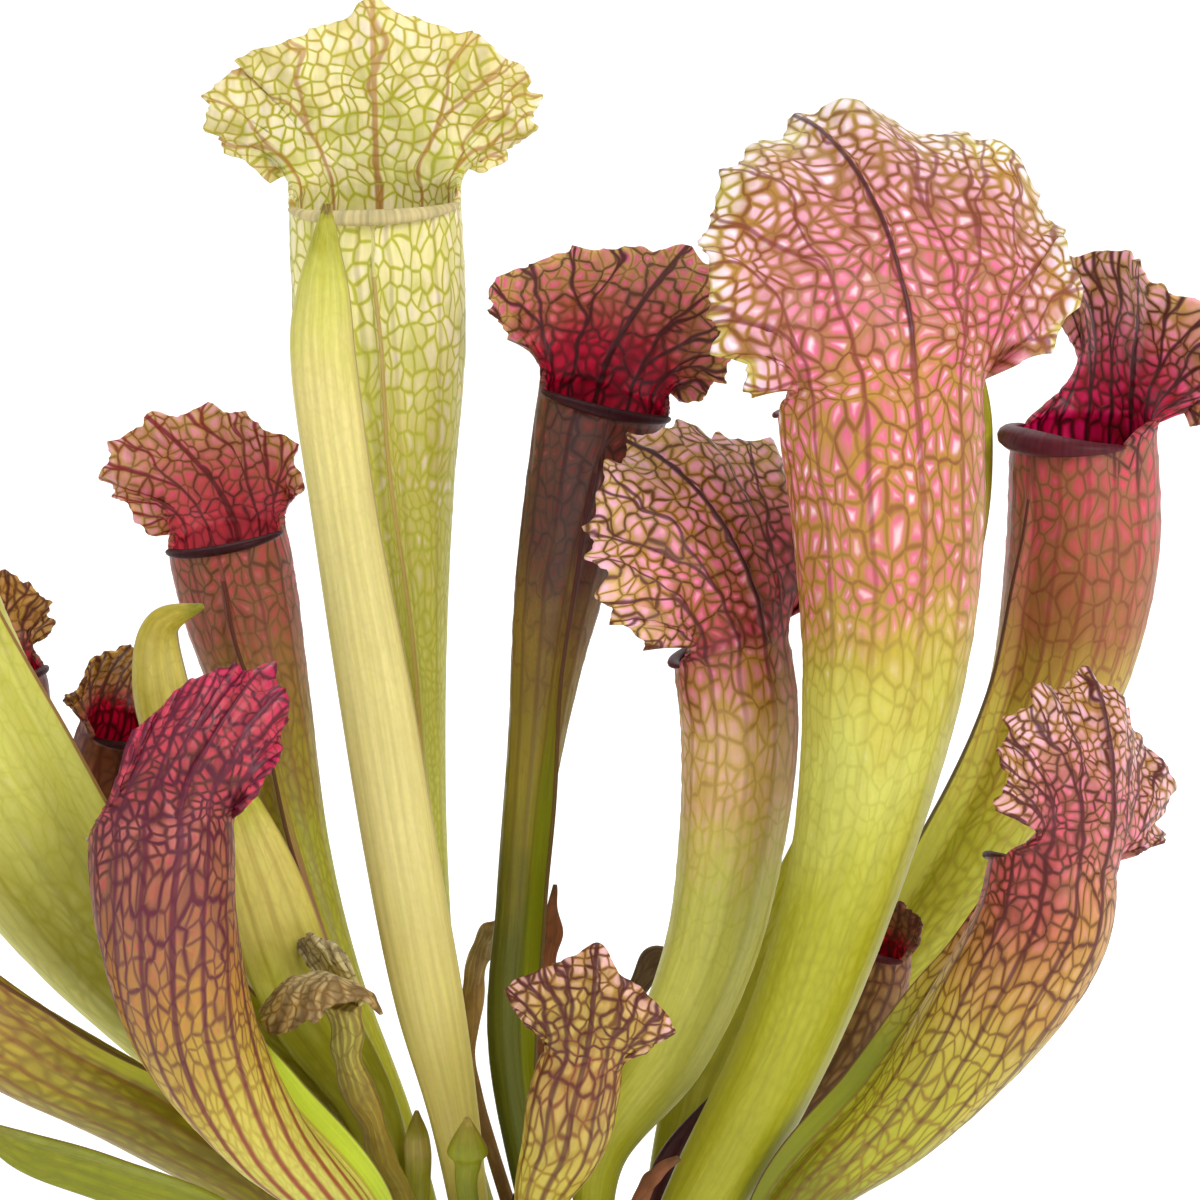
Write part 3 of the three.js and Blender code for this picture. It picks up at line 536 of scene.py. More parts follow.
def sheet_face(leaf, u, v, offset):
    """A face of the hood's sheet, at a distance from its middle surface; + is its outer face."""
    step = 0.004
    along_u = hood_middle(leaf, np.minimum(1, u + step), v) - hood_middle(leaf, np.maximum(-1, u - step), v)
    along_v = hood_middle(leaf, u, np.minimum(1, v + step)) - hood_middle(leaf, u, np.maximum(0, v - step))
    normal = unit(np.cross(along_v, along_u))
    return hood_middle(leaf, u, v) + normal * np.asarray(offset)[..., None]


class Skin:
    """A mesh under construction: points with the values that the materials read, and faces."""

    def __init__(self):
        self.points, self.values, self.faces, self.slots = [], [], [], []
        self.count = 0

    def add(self, points, surface, flow, scale, wing=0.0, relief=0.0):
        """Adds a grid of points with their values, and returns their numbers in the same grid."""
        shape = points.shape[:-1]
        columns = [*surface, *flow, scale, wing, relief]
        columns = [np.broadcast_to(value, shape).reshape(-1) for value in columns]
        self.points.append(np.array(points).reshape(-1, 3))
        self.values.append(np.stack(columns, -1))
        ids = np.arange(self.count, self.count + points.size // 3).reshape(shape)
        self.count += ids.size
        return ids

    def move(self, ids, points):
        """Moves points that were added before."""
        first = 0
        for block in self.points:
            inside = (ids >= first) & (ids < first + len(block))
            block[ids[inside] - first] = points[inside]
            first += len(block)

    def face(self, corners, slot=0):
        """Adds a face unless two of its corners are one point."""
        if len(set(corners)) == len(corners):
            self.faces.append(corners)
            self.slots.append(slot)

    def grid(self, ids, slot=0, outward=True, closed=False):
        """Quads between the rows of a grid; closed joins its last column to its first."""
        if closed:
            ids = np.concatenate([ids, ids[:, :1]], 1)
        a, b, c, d = ids[:-1, :-1], ids[1:, :-1], ids[1:, 1:], ids[:-1, 1:]
        order = (a, b, c, d) if outward else (a, d, c, b)
        quads = np.stack(order, -1).reshape(-1, 4)
        quads = quads[(np.diff(np.sort(quads, 1), axis=1) > 0).all(1)]
        self.faces.extend(quads.tolist())
        self.slots.extend([slot] * len(quads))

    def strip(self, lower, upper, slot=0, outward=True):
        """Triangles between two rows of points that may have different counts."""
        low = high = 0
        while low < len(lower) - 1 or high < len(upper) - 1:
            ahead_low = (low + 1) / (len(lower) - 1) if len(lower) > 1 else 2
            ahead_high = (high + 1) / (len(upper) - 1) if len(upper) > 1 else 2
            lift = low == len(lower) - 1 or (high < len(upper) - 1 and ahead_high <= ahead_low)
            third = upper[high + 1] if lift else lower[low + 1]
            corners = [lower[low], upper[high], third]
            self.face([int(k) for k in (corners if outward else corners[::-1])], slot)
            high, low = (high + 1, low) if lift else (high, low + 1)

    def cap(self, ring, slot=0, outward=True):
        """Closes a ring with a fan round a new point in its middle."""
        rows = np.concatenate(self.points)[ring]
        values = np.concatenate(self.values)[ring].mean(0)
        middle = self.add(rows.mean(0)[None], values[:3], values[3:6], *values[6:])[0]
        for first, second in zip(ring, np.roll(ring, -1)):
            corners = [int(middle), int(first), int(second)]
            self.face(corners if outward else corners[::-1], slot)

    def close(self, rings, outward=True):
        """Skins rows of rings and closes both ends."""
        self.grid(rings, 0, outward, closed=True)
        self.cap(rings[0], 0, outward)
        self.cap(rings[-1], 0, not outward)

    def mesh(self, name):
        """The finished mesh, in metres, with smooth faces and its values as attributes."""
        mesh = bpy.data.meshes.new(name)
        points = np.concatenate(self.points) * MM
        mesh.from_pydata(points.tolist(), [], self.faces)
        mesh.polygons.foreach_set("material_index", self.slots)
        mesh.polygons.foreach_set("use_smooth", [True] * len(self.faces))
        values = np.concatenate(self.values)
        for label, columns in (("surface", slice(0, 3)), ("flow", slice(3, 6))):
            held = mesh.attributes.new(label, "FLOAT_VECTOR", "POINT")
            held.data.foreach_set("vector", values[:, columns].astype(np.float32).reshape(-1))
        for label, column in (("scale", 6), ("wing", 7), ("relief", 8)):
            held = mesh.attributes.new(label, "FLOAT", "POINT")
            held.data.foreach_set("value", np.ascontiguousarray(values[:, column], np.float32))
        mesh.validate()
        mesh.update()
        return mesh


def along_skin(leaf, shares):
    """Distance along a leaf in units of its half width, 0 at the mouth, drawn out towards the base."""
    dense = np.linspace(0, 1, 400)
    cut = sections(leaf, dense)
    steps = np.linalg.norm(np.diff(cut.centre[:, 0], axis=0), axis=-1)
    half = cut.half[:, 0]
    rate = mix(0.3, 0.62, smooth(dense, 0.2, 1))
    gained = np.concatenate([[0], np.cumsum(steps * (rate / half)[1:])])
    return np.interp(shares, dense, gained - gained[-1])


def wing_height(leaf, shares):
    """How far the wing stands out from the tube, in millimetres."""
    run = np.clip((shares - WING_FROM) / (WING_TO - WING_FROM), 0, 1)
    ends = smooth(shares, WING_FROM - 0.02, WING_FROM + 0.02)
    ends = ends * (1 - smooth(shares, WING_TO - 0.02, WING_TO + 0.005))
    return ends * (0.5 + leaf.wing * np.maximum(np.sin(math.pi * run**0.7), 0) ** 0.8)


@dataclass
class Ring:
    """Columns round a tube: how many lie below the hood, and which of them climb the wing."""

    back: int
    front: int
    climb: np.ndarray

    def angles(self, half):
        """Angle of each column at sections of the given half widths, and its height on the wing."""
        foot = np.minimum(WING_FOOT, 0.4 * half)
        root = np.arcsin(foot / half)
        back = NECK * np.linspace(-1, 1, self.back + 1)[None] + 0 * half
        go = np.linspace(0, 1, self.front + 1)[None, 1:]
        left = mix(NECK, math.pi - root, go)
        narrow = WING_EDGE + np.maximum(0, foot - WING_EDGE) * (1 - self.climb[None]) ** 3
        slope = math.pi - np.arcsin(narrow / half)
        right = math.tau - np.concatenate([slope[:, ::-1], left[:, ::-1]], 1)
        none = np.zeros_like
        wing = np.concatenate([none(back), none(left), 0 * slope + self.climb], 1)
        down = np.concatenate([0 * slope + self.climb[::-1], none(left)], 1)
        return np.concatenate([back, left, slope, right], 1), np.concatenate([wing, down], 1)


def tube_rows(skin, leaf, ring, shares, inner):
    """Adds the rows of a tube's outer face, wing and all, or of its inner face."""
    shares = np.asarray(shares, float)
    cut = sections(leaf, shares)
    angles, climb = ring.angles(cut.half)
    points = tube_points(leaf, shares, angles, WALL if inner else 0)
    height = 0 * climb if inner else climb * wing_height(leaf, shares)[:, None]
    sway = 0.35 * climb**2 * np.sin(23 * shares + leaf.seed)[:, None] * (height > 0)
    points = points + height[..., None] * cut.front + sway[..., None] * cut.side
    turned = np.where(angles > math.pi, angles - math.tau, angles)
    beyond = np.sign(turned) * height / cut.half
    rows = shares[:, None]
    surface = turned + beyond, along_skin(leaf, rows), 0
    flow = (turned + beyond) / NECK, (1.07 if inner else rows), cut.half * NECK
    even = (1 - climb) * smooth(rows, 0.02, 0.1) * (1 - smooth(rows, 0.965, 0.995))
    wing = -1 if inner else climb * smooth(height, 0.3, 1)
    return skin.add(points, surface, flow, cut.half, wing, even)


def hood_rows(skin, leaf, columns, rows, sideways):
    """Adds the rows of one face of a hood above the neck; sideways is 1 for its outer face."""
    even, v = np.meshgrid(np.linspace(-1, 1, columns + 1), np.linspace(0, 1, rows + 1)[1:])
    u = mix(even, np.sign(even) * abs(even) ** 1.2, smooth(v, 0, 0.2))
    thick = mix(WALL, HOOD_MARGIN, v)
    x, z, _ = hood_path(leaf, u, v)
    wide = np.hypot(np.gradient(x, axis=1), np.gradient(z, axis=1)) / np.gradient(u, axis=1)
    keel = KEEL * np.exp(-((u * wide / 0.8) ** 2)) * (sideways > 0)
    keel = keel * smooth(v, 0, 0.3) * (1 - smooth(v, 0.9, 1))
    points = sheet_face(leaf, u, v, sideways * (thick / 2 + keel))
    base = sheet_face(leaf, u[:1], 0 * v[:1], sideways * thick[:1] / 2)
    start = tube_points(leaf, [1.0], u[:1] * NECK, 0 if sideways > 0 else WALL)
    points = points + (start - base) * (1 - smooth(v, 0, 0.12))[..., None]
    half = leaf.knots[-1][3]
    turn = smooth(v, 0, 0.4)
    surface = mix(u * NECK, x / half, turn), (z - mouth_shift(leaf, np.ones_like(u), u * NECK)) / half, 0
    spread = np.linalg.norm(np.gradient(points, axis=1), axis=-1) / np.gradient(u, axis=1)
    level = smooth(v, 0, 0.06) * (1 - smooth(v, 0.93, 1)) * (1 - smooth(abs(u), 0.97, 1))
    return skin.add(points, surface, (u, 1 + v, spread), half, min(0, sideways), level)


# Section of the rolled lip from the tube's outer face over its top, in parts of its thickness
LIP_ROLL = [
    (0, 0), (0.6, -0.35), (1.05, -0.1), (1.1, 0.4), (0.75, 0.85), (0.25, 0.98), (-0.05, 0.75), (0, 0.4),
]


def lip_rows(skin, leaf, angles, outer, inner):
    """Adds the rolled lip between the mouth's outer and inner points at the given angles."""
    mouth = sections(leaf, [1])
    roll = 1.2 * leaf.lip * np.sqrt(np.sin(math.pi * (angles - NECK) / (math.tau - 2 * NECK)))
    roll = roll * (1 + leaf.flare * np.exp(-(((angles - math.pi) / 0.8) ** 2)))
    chain = np.linspace(0, 1, 11)
    out, up = along(LIP_ROLL, chain).T[..., None] * roll
    out = out - WALL * smooth(chain, 0.45, 1)[:, None]
    way = np.sin(angles)[:, None] * mouth.side[0] - np.cos(angles)[:, None] * mouth.front[0]
    start = np.concatenate(skin.points)[outer]
    points = start + out[..., None] * way + up[..., None] * mouth.up[0]
    turned = np.where(angles > math.pi, angles - math.tau, angles)
    surface = turned, np.linspace(0, 0.3, 11)[1:-1, None], 0
    flow = turned / NECK, 1, mouth.half[0] * NECK
    middle = skin.add(points[1:-1], surface, flow, mouth.half[0])
    skin.move(inner, points[-1])
    return np.concatenate([outer[None], middle, inner[None]])


def open_pitcher_mesh(leaf, fineness):
    """An open pitcher: tube with its wing, rolled lip and hood, closed all round."""
    skin = Skin()
    fineness = fineness * leaf.detail
    ring = Ring(int(BACK_COLUMNS * fineness), int(FRONT_COLUMNS * fineness), WING_COLUMNS)
    shares = np.linspace(0, 1, int(TUBE_ROWS * fineness) + 1)
    outer = tube_rows(skin, leaf, ring, shares, False)
    shares = np.linspace(HOLLOW_FROM, 1, int(HOLLOW_ROWS * fineness) + 1)
    inner = tube_rows(skin, leaf, ring, shares, True)
    skin.grid(outer, 0, True, closed=True)
    skin.grid(inner, 0, False, closed=True)
    skin.cap(outer[0], 0, True)
    skin.cap(inner[0], 0, False)
    faces = []
    for sideways, mouth in ((1, outer[-1]), (-1, inner[-1])):
        rows = hood_rows(skin, leaf, 3 * ring.back, int(HOOD_ROWS * fineness), sideways)
        skin.strip(mouth[: ring.back + 1], rows[0], 0, sideways > 0)
        skin.grid(rows, 0, sideways > 0)
        faces.append(rows)
    back, front = faces
    skin.grid(np.stack([back[-1], front[-1]]), 0, True)
    for column, order, at in ((-1, 1, ring.back), (0, -1, 0)):
        side = np.stack([back[:, column], front[:, column]], 1)
        foot = np.array([[outer[-1][at], inner[-1][at]]])
        skin.grid(np.concatenate([foot, side])[:, ::order], 0, True)
    angles = ring.angles(sections(leaf, [1]).half)[0][0]
    places = slice(ring.back + 1, None)
    lip = lip_rows(skin, leaf, angles[places], outer[-1][places], inner[-1][places])
    skin.grid(lip, 1, True)
    for edge, at, outward in ((lip[:, 0], ring.back, False), (lip[:, -1], 0, True)):
        skin.strip([outer[-1][at], inner[-1][at]], edge, 1, outward)
    return skin.mesh(leaf.name)


def crumpled(points, amount, seed):
    """Shifts points by an uneven field, as in dried leaves."""
    chance = np.random.default_rng(seed)
    shift = np.zeros_like(points)
    for length in (17, 9, 5):
        for axis in range(3):
            way = chance.normal(size=3)
            way = way / np.linalg.norm(way) * math.tau / length
            shift[..., axis] += np.sin(points @ way + math.tau * chance.random()) * length / 17
    return points + shift * amount


def closed_rings(skin, leaf, shares, columns):
    """Adds the rings of a leaf that is closed all round."""
    shares = np.asarray(shares, float)
    cut = sections(leaf, shares)
    rows = shares[:, None]
    round_at = mix(max(leaf.round, 0.8), leaf.round, smooth(rows, 0, 0.25))
    deep = np.maximum(cut.half * round_at, 0.45 * np.minimum(1, cut.half / 0.45))
    angles = math.tau * np.arange(columns)[None] / columns
    across, forward = np.sin(angles), -np.cos(angles)
    points = cut.place(cut.half * across, deep * forward, 0 * across)
    points = crumpled(points, leaf.crumple * smooth(rows, 0.15, 0.5)[..., None], leaf.seed)
    length = along_skin(leaf, rows)
    surface = across + 0 * rows, forward + 0 * rows, length
    return skin.add(points, surface, (across, rows, cut.half), cut.half, 0, 0)


def closed_leaf_mesh(leaf, fineness):
    """An unopened, flat or dried leaf, closed all round from its base to its tip."""
    skin = Skin()
    rows = int(CLOSED_ROWS * fineness * leaf.detail)
    columns = 2 * int(CLOSED_COLUMNS * fineness * leaf.detail)
    shares = np.linspace(0, 1, rows + 1) ** 0.9
    shares = shares[shares < 0.999]
    skin.close(closed_rings(skin, leaf, shares, columns))
    return skin.mesh(leaf.name)


def withered_mesh(leaf, fineness):
    """A dead pitcher: a thin stalk with its shrivelled hood bent over the top."""
    skin = Skin()
    shares = np.linspace(0, 1, int(STALK_ROWS * fineness))
    skin.close(closed_rings(skin, leaf, shares, 2 * int(STALK_COLUMNS * fineness)))
    bent_sheet(skin, leaf, 1, fineness)
    bent_sheet(skin, replace(leaf, hood=WITHERED_FLAP), 0.5, fineness)
    return skin.mesh(leaf.name)


def bent_sheet(skin, leaf, flow_end, fineness):
    """A shrivelled closed sheet on top of the dead pitcher's stalk."""
    down = -1.2 * sections(leaf, [1]).up[0]
    columns, rows = int(SHEET_COLUMNS * fineness), int(HOOD_ROWS * fineness)
    u, v = np.meshgrid(np.linspace(-1, 1, columns + 1), np.linspace(0, 1, rows + 1))
    x, z, _ = hood_path(leaf, u, v)
    faces = []
    for sideways in (1, -1):
        points = sheet_face(leaf, u, v, sideways * SHEET_WALL / 2 + 0 * u) + down
        points = crumpled(points, leaf.crumple * 0.8, leaf.seed)
        surface = x / SHEET_HALF, z / SHEET_HALF, 0
        flow = u, 1 + flow_end * v, SHEET_SPREAD
        ids = skin.add(points, surface, flow, SHEET_HALF, 0, 1 - smooth(v, 0.9, 1))
        skin.grid(ids, 1, sideways > 0)
        faces.append(ids)
    back, front = faces
    skin.grid(np.stack([back[-1], front[-1]]), 1, True)
    skin.grid(np.stack([front[0], back[0]]), 1, True)
    skin.grid(np.stack([back[:, -1], front[:, -1]], 1), 1, True)
    skin.grid(np.stack([front[:, 0], back[:, 0]], 1), 1, True)


class Out:
    """A node's output that can be reckoned with: each sign adds one node."""

    def __init__(self, tree, socket):
        self.tree, self.socket = tree, socket
        self.single = socket.type == "VALUE"

    def reckon(self, operation, *others):
        kind = "ShaderNodeMath" if self.single else "ShaderNodeVectorMath"
        return self.tree.out(kind, dict(enumerate([self, *others])), operation=operation)

    def __add__(self, other):
        return self.reckon("ADD", other)

    def __sub__(self, other):
        return self.reckon("SUBTRACT", other)

    def __mul__(self, other):
        if self.single or isinstance(other, tuple):
            return self.reckon("MULTIPLY", other)
        return self.tree.out("ShaderNodeVectorMath", {0: self, "Scale": other}, operation="SCALE")

    def __truediv__(self, other):
        return self.reckon("DIVIDE", other)

    def __pow__(self, other):
        return self.reckon("POWER", other)

    def __abs__(self):
        return self.reckon("ABSOLUTE")

    def __lt__(self, other):
        return self.reckon("LESS_THAN", other)

    def __gt__(self, other):
        return self.reckon("GREATER_THAN", other)


class Tree:
    """Adds nodes to a shader or geometry node tree; an input is a value or another node's output."""

    def __init__(self, group):
        self.group = group
        self.shader = group.bl_idname == "ShaderNodeTree"

    def add(self, kind, inputs, **settings):
        """A new node, set out in a grid."""
        node = self.group.nodes.new(kind)
        column, row = divmod(len(self.group.nodes), 7)
        node.location = (column * 200, -row * 200)
        for name, value in settings.items():
            setattr(node, name, value)
        for name, value in inputs.items():
            self.feed(node.inputs[name], value)
        return node

    def out(self, kind, inputs, output=0, **settings):
        """One output of a new node."""
        return Out(self, self.add(kind, inputs, **settings).outputs[output])

    def feed(self, socket, value):
        """Links an output to a socket, or sets the socket to a value."""
        if isinstance(value, Out):
            self.group.links.new(value.socket, socket)
        else:
            socket.default_value = value

    def most(self, first, *others):
        """The largest of some values."""
        for other in others:
            first = first.reckon("MAXIMUM", other)
        return first

    def parts(self, vector):
        """X, Y and Z of a vector."""
        node = self.add("ShaderNodeSeparateXYZ", {0: vector})
        return [Out(self, socket) for socket in node.outputs]

    def joined(self, x, y, z):
        """A vector from its parts."""
        return self.out("ShaderNodeCombineXYZ", {"X": x, "Y": y, "Z": z})

    def noise(self, at, scale, detail, output="Fac"):
        """Soft noise, as a number or as a colour."""
        inputs = {"Vector": at, "Scale": scale, "Detail": detail}
        return self.out("ShaderNodeTexNoise", inputs, output, noise_dimensions="3D")

    def cells(self, at, feature, dimensions, output):
        """A value of the nearest cell, of the next one or of the edge between them."""
        inputs = {"Vector": at, "Scale": 1.0, "Randomness": 0.82}
        settings = {"feature": feature, "voronoi_dimensions": dimensions}
        return self.out("ShaderNodeTexVoronoi", inputs, output, **settings)

    def rise(self, value, low, high, start=0.0, end=1.0):
        """Goes smoothly from start to end as the value goes from low to high."""
        inputs = {"Value": value, "From Min": low, "From Max": high, "To Min": start, "To Max": end}
        return self.out("ShaderNodeMapRange", inputs, interpolation_type="SMOOTHSTEP")

    def fall(self, value, low, high, start=1.0):
        """Goes smoothly from start to 0 as the value goes from low to high."""
        return self.rise(value, low, high, start, 0.0)

    def blend(self, share, first, second):
        """Goes from one colour to another as share goes from 0 to 1."""
        return self.out("ShaderNodeMix", {0: share, 6: first, 7: second}, 2, data_type="RGBA")

    def lit(self, colour, light, saturation=1.0):
        """A colour made lighter or darker."""
        inputs = {"Color": colour, "Value": light, "Saturation": saturation}
        return self.out("ShaderNodeHueSaturation", inputs)

    def ramp(self, value, stops, palette):
        """Colour and strength along a leaf, from stops such as "0 lime .2, 1 cream"."""
        node = self.add("ShaderNodeValToRGB", {0: value * 0.5})
        stops = [stop.split() for stop in stops.split(",")]
        elements = node.color_ramp.elements
        while len(elements) < len(stops):
            elements.new(0.5)
        for element, (place, name, *strength) in zip(elements, stops):
            element.position = float(place) / 2
            element.color = (*getattr(palette, name)[:3], float(strength[0]) if strength else 1.0)
        return [Out(self, socket) for socket in node.outputs]

    def kept(self, name, kind="FLOAT"):
        """What the mesh keeps at each point under a name: a number or a vector."""
        if self.shader:
            output = "Fac" if kind == "FLOAT" else "Vector"
            return self.out("ShaderNodeAttribute", {}, output, attribute_name=name)
        return self.out("GeometryNodeInputNamedAttribute", {"Name": name}, data_type=kind)

    def place(self, name):
        """A vector that the mesh keeps at each point."""
        return self.kept(name, "FLOAT_VECTOR")

    def moved(self, geometry, way, value):
        """Geometry whose points move by an offset or to a position."""
        return self.out("GeometryNodeSetPosition", {"Geometry": geometry, way: value})

    def painted(self, geometry, material):
        """Geometry with one material."""
        return self.out("GeometryNodeSetMaterial", {"Geometry": geometry, "Material": material})

    def finish(self, colour, rough, height, bump, even):
        """Feeds the shader, with a bump of the given depth and strength, and what is even all over."""
        shader = self.group.nodes["Principled BSDF"]
        depth, strength = bump
        normal = self.out("ShaderNodeBump", {"Height": height, "Distance": depth, "Strength": strength})
        for label, value in {"Base Color": colour, "Roughness": rough, "Normal": normal, **even}.items():
            self.feed(shader.inputs[label], value)


@dataclass
class Veins:
    """Outputs of a pattern of veins: distances in millimetres, and values for each cell."""

    fine: Out
    strong: Out
    main: Out
    middle: Out
    chance: Out
    centre: Out


# The forks of a hood's main veins: how far they open as a part of the gap, and where they start
FORKS = ((0.27, 1.15), (0.13, 1.5))


def main_veins(tree, across, along_leaf, gap, seed):
    """Distance to the nearest main vein, in the units of across; on a hood each one forks twice."""
    index = (across / gap).reckon("ROUND")
    off = abs(across - index * gap)
    draw = {"W": index + (seed + 0.5)}
    chance = tree.out("ShaderNodeTexWhiteNoise", draw, "Value", noise_dimensions="1D")
    sideways = abs(index).reckon("MINIMUM", 1.0)
    for part, at in FORKS:
        start = chance * 0.35 + at
        opened = tree.rise(along_leaf, start, start + 0.45, 0.0, gap * part)
        off = abs(off - opened * sideways)
    return off


def vein_pattern(tree, look, half, seed, dimensions="2D"):
    """The veins of a leaf of the given half width, the same for its colours and its relief."""
    fine, coarse = half / look.fine_mm, half / look.coarse_mm
    shifted = tree.place("surface") + (seed * 3.7, seed * 1.9, seed * 0.7)
    bent = tree.noise(shifted, 1.5, 1.0, "Color") - (0.5, 0.5, 0.5)
    at = (shifted + bent * 0.45) * fine
    distance = tree.cells(at, "DISTANCE_TO_EDGE", dimensions, "Distance") / fine * tree.kept("scale")
    chance, centre = (tree.cells(at, "F1", dimensions, output) for output in ("Color", "Distance"))
    # An edge is strong where the cells on its two sides belong to different large cells
    groups = []
    for feature in ("F1", "F2"):
        middle = tree.cells(at, feature, dimensions, "Position")
        groups.append(tree.cells(middle * (coarse / fine), "F1", dimensions, "Color"))
    apart = tree.out("ShaderNodeVectorMath", dict(enumerate(groups)), "Value", operation="DISTANCE")
    across, along_leaf, spread = tree.parts(tree.place("flow"))
    sway = tree.parts(bent)[0] * (look.gap * 0.55) * tree.rise(along_leaf, 0.4, 1.2)
    main = main_veins(tree, across + sway, along_leaf, look.gap, seed) * spread
    return Veins(distance, apart > 0.001, main, abs(across) * spread, chance, centre)


@dataclass
class Look:
    """Colours along a leaf, from its base at 0 over the mouth at 1 to the hood's margin at 2.

    Each text has stops of place, colour name and strength: ground is the skin between the cells,
    spot the middle of a cell, net the fine veins and vein the main ones. Lengths are in millimetres.
    """

    ground: str
    spot: str
    net: str
    vein: str
    pale: str
    edge: str
    wing: str = "olive"
    lip: str = "straw"
    coarse: float = 0.75
    fine_mm: float = 3.0
    coarse_mm: float = 9.0
    gap: float = 0.3
    line_mm: float = 0.36
    vein_mm: float = 0.6
    border_mm: float = 1.1
    cell_from: float = 0.24
    cell_to: float = 0.66
    throat: float = 0.0
    throat_skin: str = "crimson"
    # Strength of the painted shadow along a hood's keel
    midrib_shadow: float = 0.0
    # Painted shade mixed with wine colour on one side of the tube's top and the hood; the sign picks the
    # side, the size the strength
    flush: float = 0.0
    glow: str = "bright_crimson"
    blush: float = 0.5
    rough: float = 0.42
    dry: float = 0.0
    wing_to: float = 0.62


def rgba(palette, name):
    """A colour of the palette for a node's input."""
    return (*getattr(palette, name)[:3], 1)


def skin_colour(tree, look, palette, veins):
    """Colour of a leaf's skin: its ground, then the cells, the fine net and the main veins over it, and
    painted shade on one side and along the hood's keel.
    """
    surface = tree.place("surface")
    across, along_leaf = tree.parts(tree.place("flow"))[:2]
    along_leaf = along_leaf + (tree.noise(surface, 0.9, 3.0) - 0.5) * 0.22
    ground = tree.ramp(along_leaf, look.ground, palette)[0]
    spot, spot_strength = tree.ramp(along_leaf, look.spot, palette)
    net, net_strength = tree.ramp(along_leaf, look.net, palette)
    vein, vein_strength = tree.ramp(along_leaf, look.vein, palette)
    first, second = tree.parts(veins.chance)[:2]
    pale = first**1.4 * look.blush * tree.rise(veins.fine, look.border_mm * 0.6, look.border_mm * 1.3)
    spot = tree.blend(pale, spot, rgba(palette, look.pale))
    if look.throat:
        deep = tree.fall(along_leaf, 1.0, 1 + look.throat) * (tree.kept("wing") < -0.5)
        ground = tree.blend(deep, ground, rgba(palette, look.throat_skin))
        spot = tree.blend(deep, spot, rgba(palette, look.glow))
        spot_strength = tree.most(spot_strength, deep)
    # Painted shade on one side: wine skin and rose cells stand partly for the shade that a neighbouring
    # pitcher casts and partly for the leaf's own wine colour
    if look.flush:
        side = tree.rise(across * math.copysign(1, look.flush), 0.0, 0.6)
        side = side * tree.rise(along_leaf, 0.6, 0.85) * tree.fall(along_leaf, 1.5, 1.9, abs(look.flush))
        ground = tree.blend(side, ground, rgba(palette, "wine"))
        spot = tree.blend(side * 0.85, spot, rgba(palette, "rose"))
    lively = tree.most(tree.rise(tree.noise(surface, 2.3, 2.0), 0.35, 0.62), tree.rise(second, 0.3, 0.9))
    middle = tree.rise(veins.fine, look.border_mm * 0.15, look.border_mm * 0.65)
    middle = middle * tree.fall(veins.centre, look.cell_from, look.cell_to) * spot_strength
    colour = tree.blend(middle * (lively * 0.65 + 0.35), ground, spot)
    colour = tree.blend(tree.fall(veins.fine, 0.04, look.line_mm) * net_strength, colour, net)
    grouped = veins.strong * tree.rise(along_leaf, 0.45, 0.8, 0.0, look.coarse)
    strong = tree.most(
        tree.fall(veins.fine, 0.1, look.vein_mm) * grouped,
        tree.fall(veins.fine, 0.1, look.vein_mm * 2.2, 0.35) * grouped,
        tree.fall(veins.main, 0.15, look.vein_mm * 1.3),
        tree.fall(veins.middle, 0.3, 0.9),
    )
    colour = tree.blend(strong * vein_strength, colour, vein)
    # Painted shadow: a dark maroon line down the middle of the hood that stands in for the shadow beside its
    # keel
    if look.midrib_shadow:
        shade = tree.fall(veins.middle, 0.15, 0.75) * (tree.rise(along_leaf, 1.05, 1.3) * look.midrib_shadow)
        colour = tree.blend(shade, colour, rgba(palette, "dark_maroon"))
    return colour


def new_material(name):
    """A material and the helper for its nodes."""
    material = bpy.data.materials.new(name)
    material.use_nodes = True
    return material, Tree(material.node_tree)


def soft(specular, weight, depth):
    """The shader's values for skin that lets a little light through, down to the given depth."""
    return {
        "Specular IOR Level": specular,
        "Subsurface Weight": weight,
        "Subsurface Radius": (1.0, 0.6, 0.25),
        "Subsurface Scale": depth,
    }


def skin_material(name, look, palette, half, seed, dimensions="2D"):
    """Waxy leaf skin with its net of veins; dried leaves are rough and blotched."""
    material, tree = new_material(name)
    surface, flow = tree.place("surface"), tree.place("flow")
    colour = skin_colour(tree, look, palette, vein_pattern(tree, look, half, seed, dimensions))
    across, along_leaf = tree.parts(flow)[:2]
    if dimensions == "2D":
        wing = tree.kept("wing")
        green = tree.rise(wing, 0.05, 0.3) * tree.fall(along_leaf, look.wing_to - 0.2, look.wing_to)
        colour = tree.blend(green, colour, rgba(palette, look.wing))
        rim, drawn = tree.rise(wing, 0.9, 0.97), (9.0, 0.9, 9.0)
    else:
        rim, drawn = tree.rise(across, 0.95, 0.99) * tree.rise(along_leaf, 0.3, 0.5), (9.0, 9.0, 0.9)
    colour = tree.blend(rim * 0.75, colour, rgba(palette, look.edge))
    streaks = tree.noise(surface * drawn, 1.0, 3.0)
    position = tree.out("ShaderNodeTexCoord", {}, "Object")
    grain, slow = tree.noise(position, 900.0, 2.0), tree.noise(position, 28.0, 2.0)
    light = (streaks - 0.5) * 0.44 + (slow - 0.5) * 0.35 + (grain - 0.5) * 0.12 + 1.0
    colour = tree.lit(colour, light, 1.08)
    height = streaks * (0.5 + look.dry)
    if look.dry:
        blotch = tree.rise(tree.noise(position, 160.0, 4.0), 0.45, 0.68)
        colour = tree.blend(blotch * look.dry, colour, rgba(palette, "brown_dark"))
        height = height + grain * (0.12 + 0.6 * look.dry)
    rough = tree.rise(streaks, 0.2, 0.8, look.rough - 0.06, look.rough + 0.1)
    even = soft(0.35, 0.05 if look.dry else 0.15, 0.0015)
    tree.finish(colour, rough, height, (0.0004, 0.55), even)
    return material


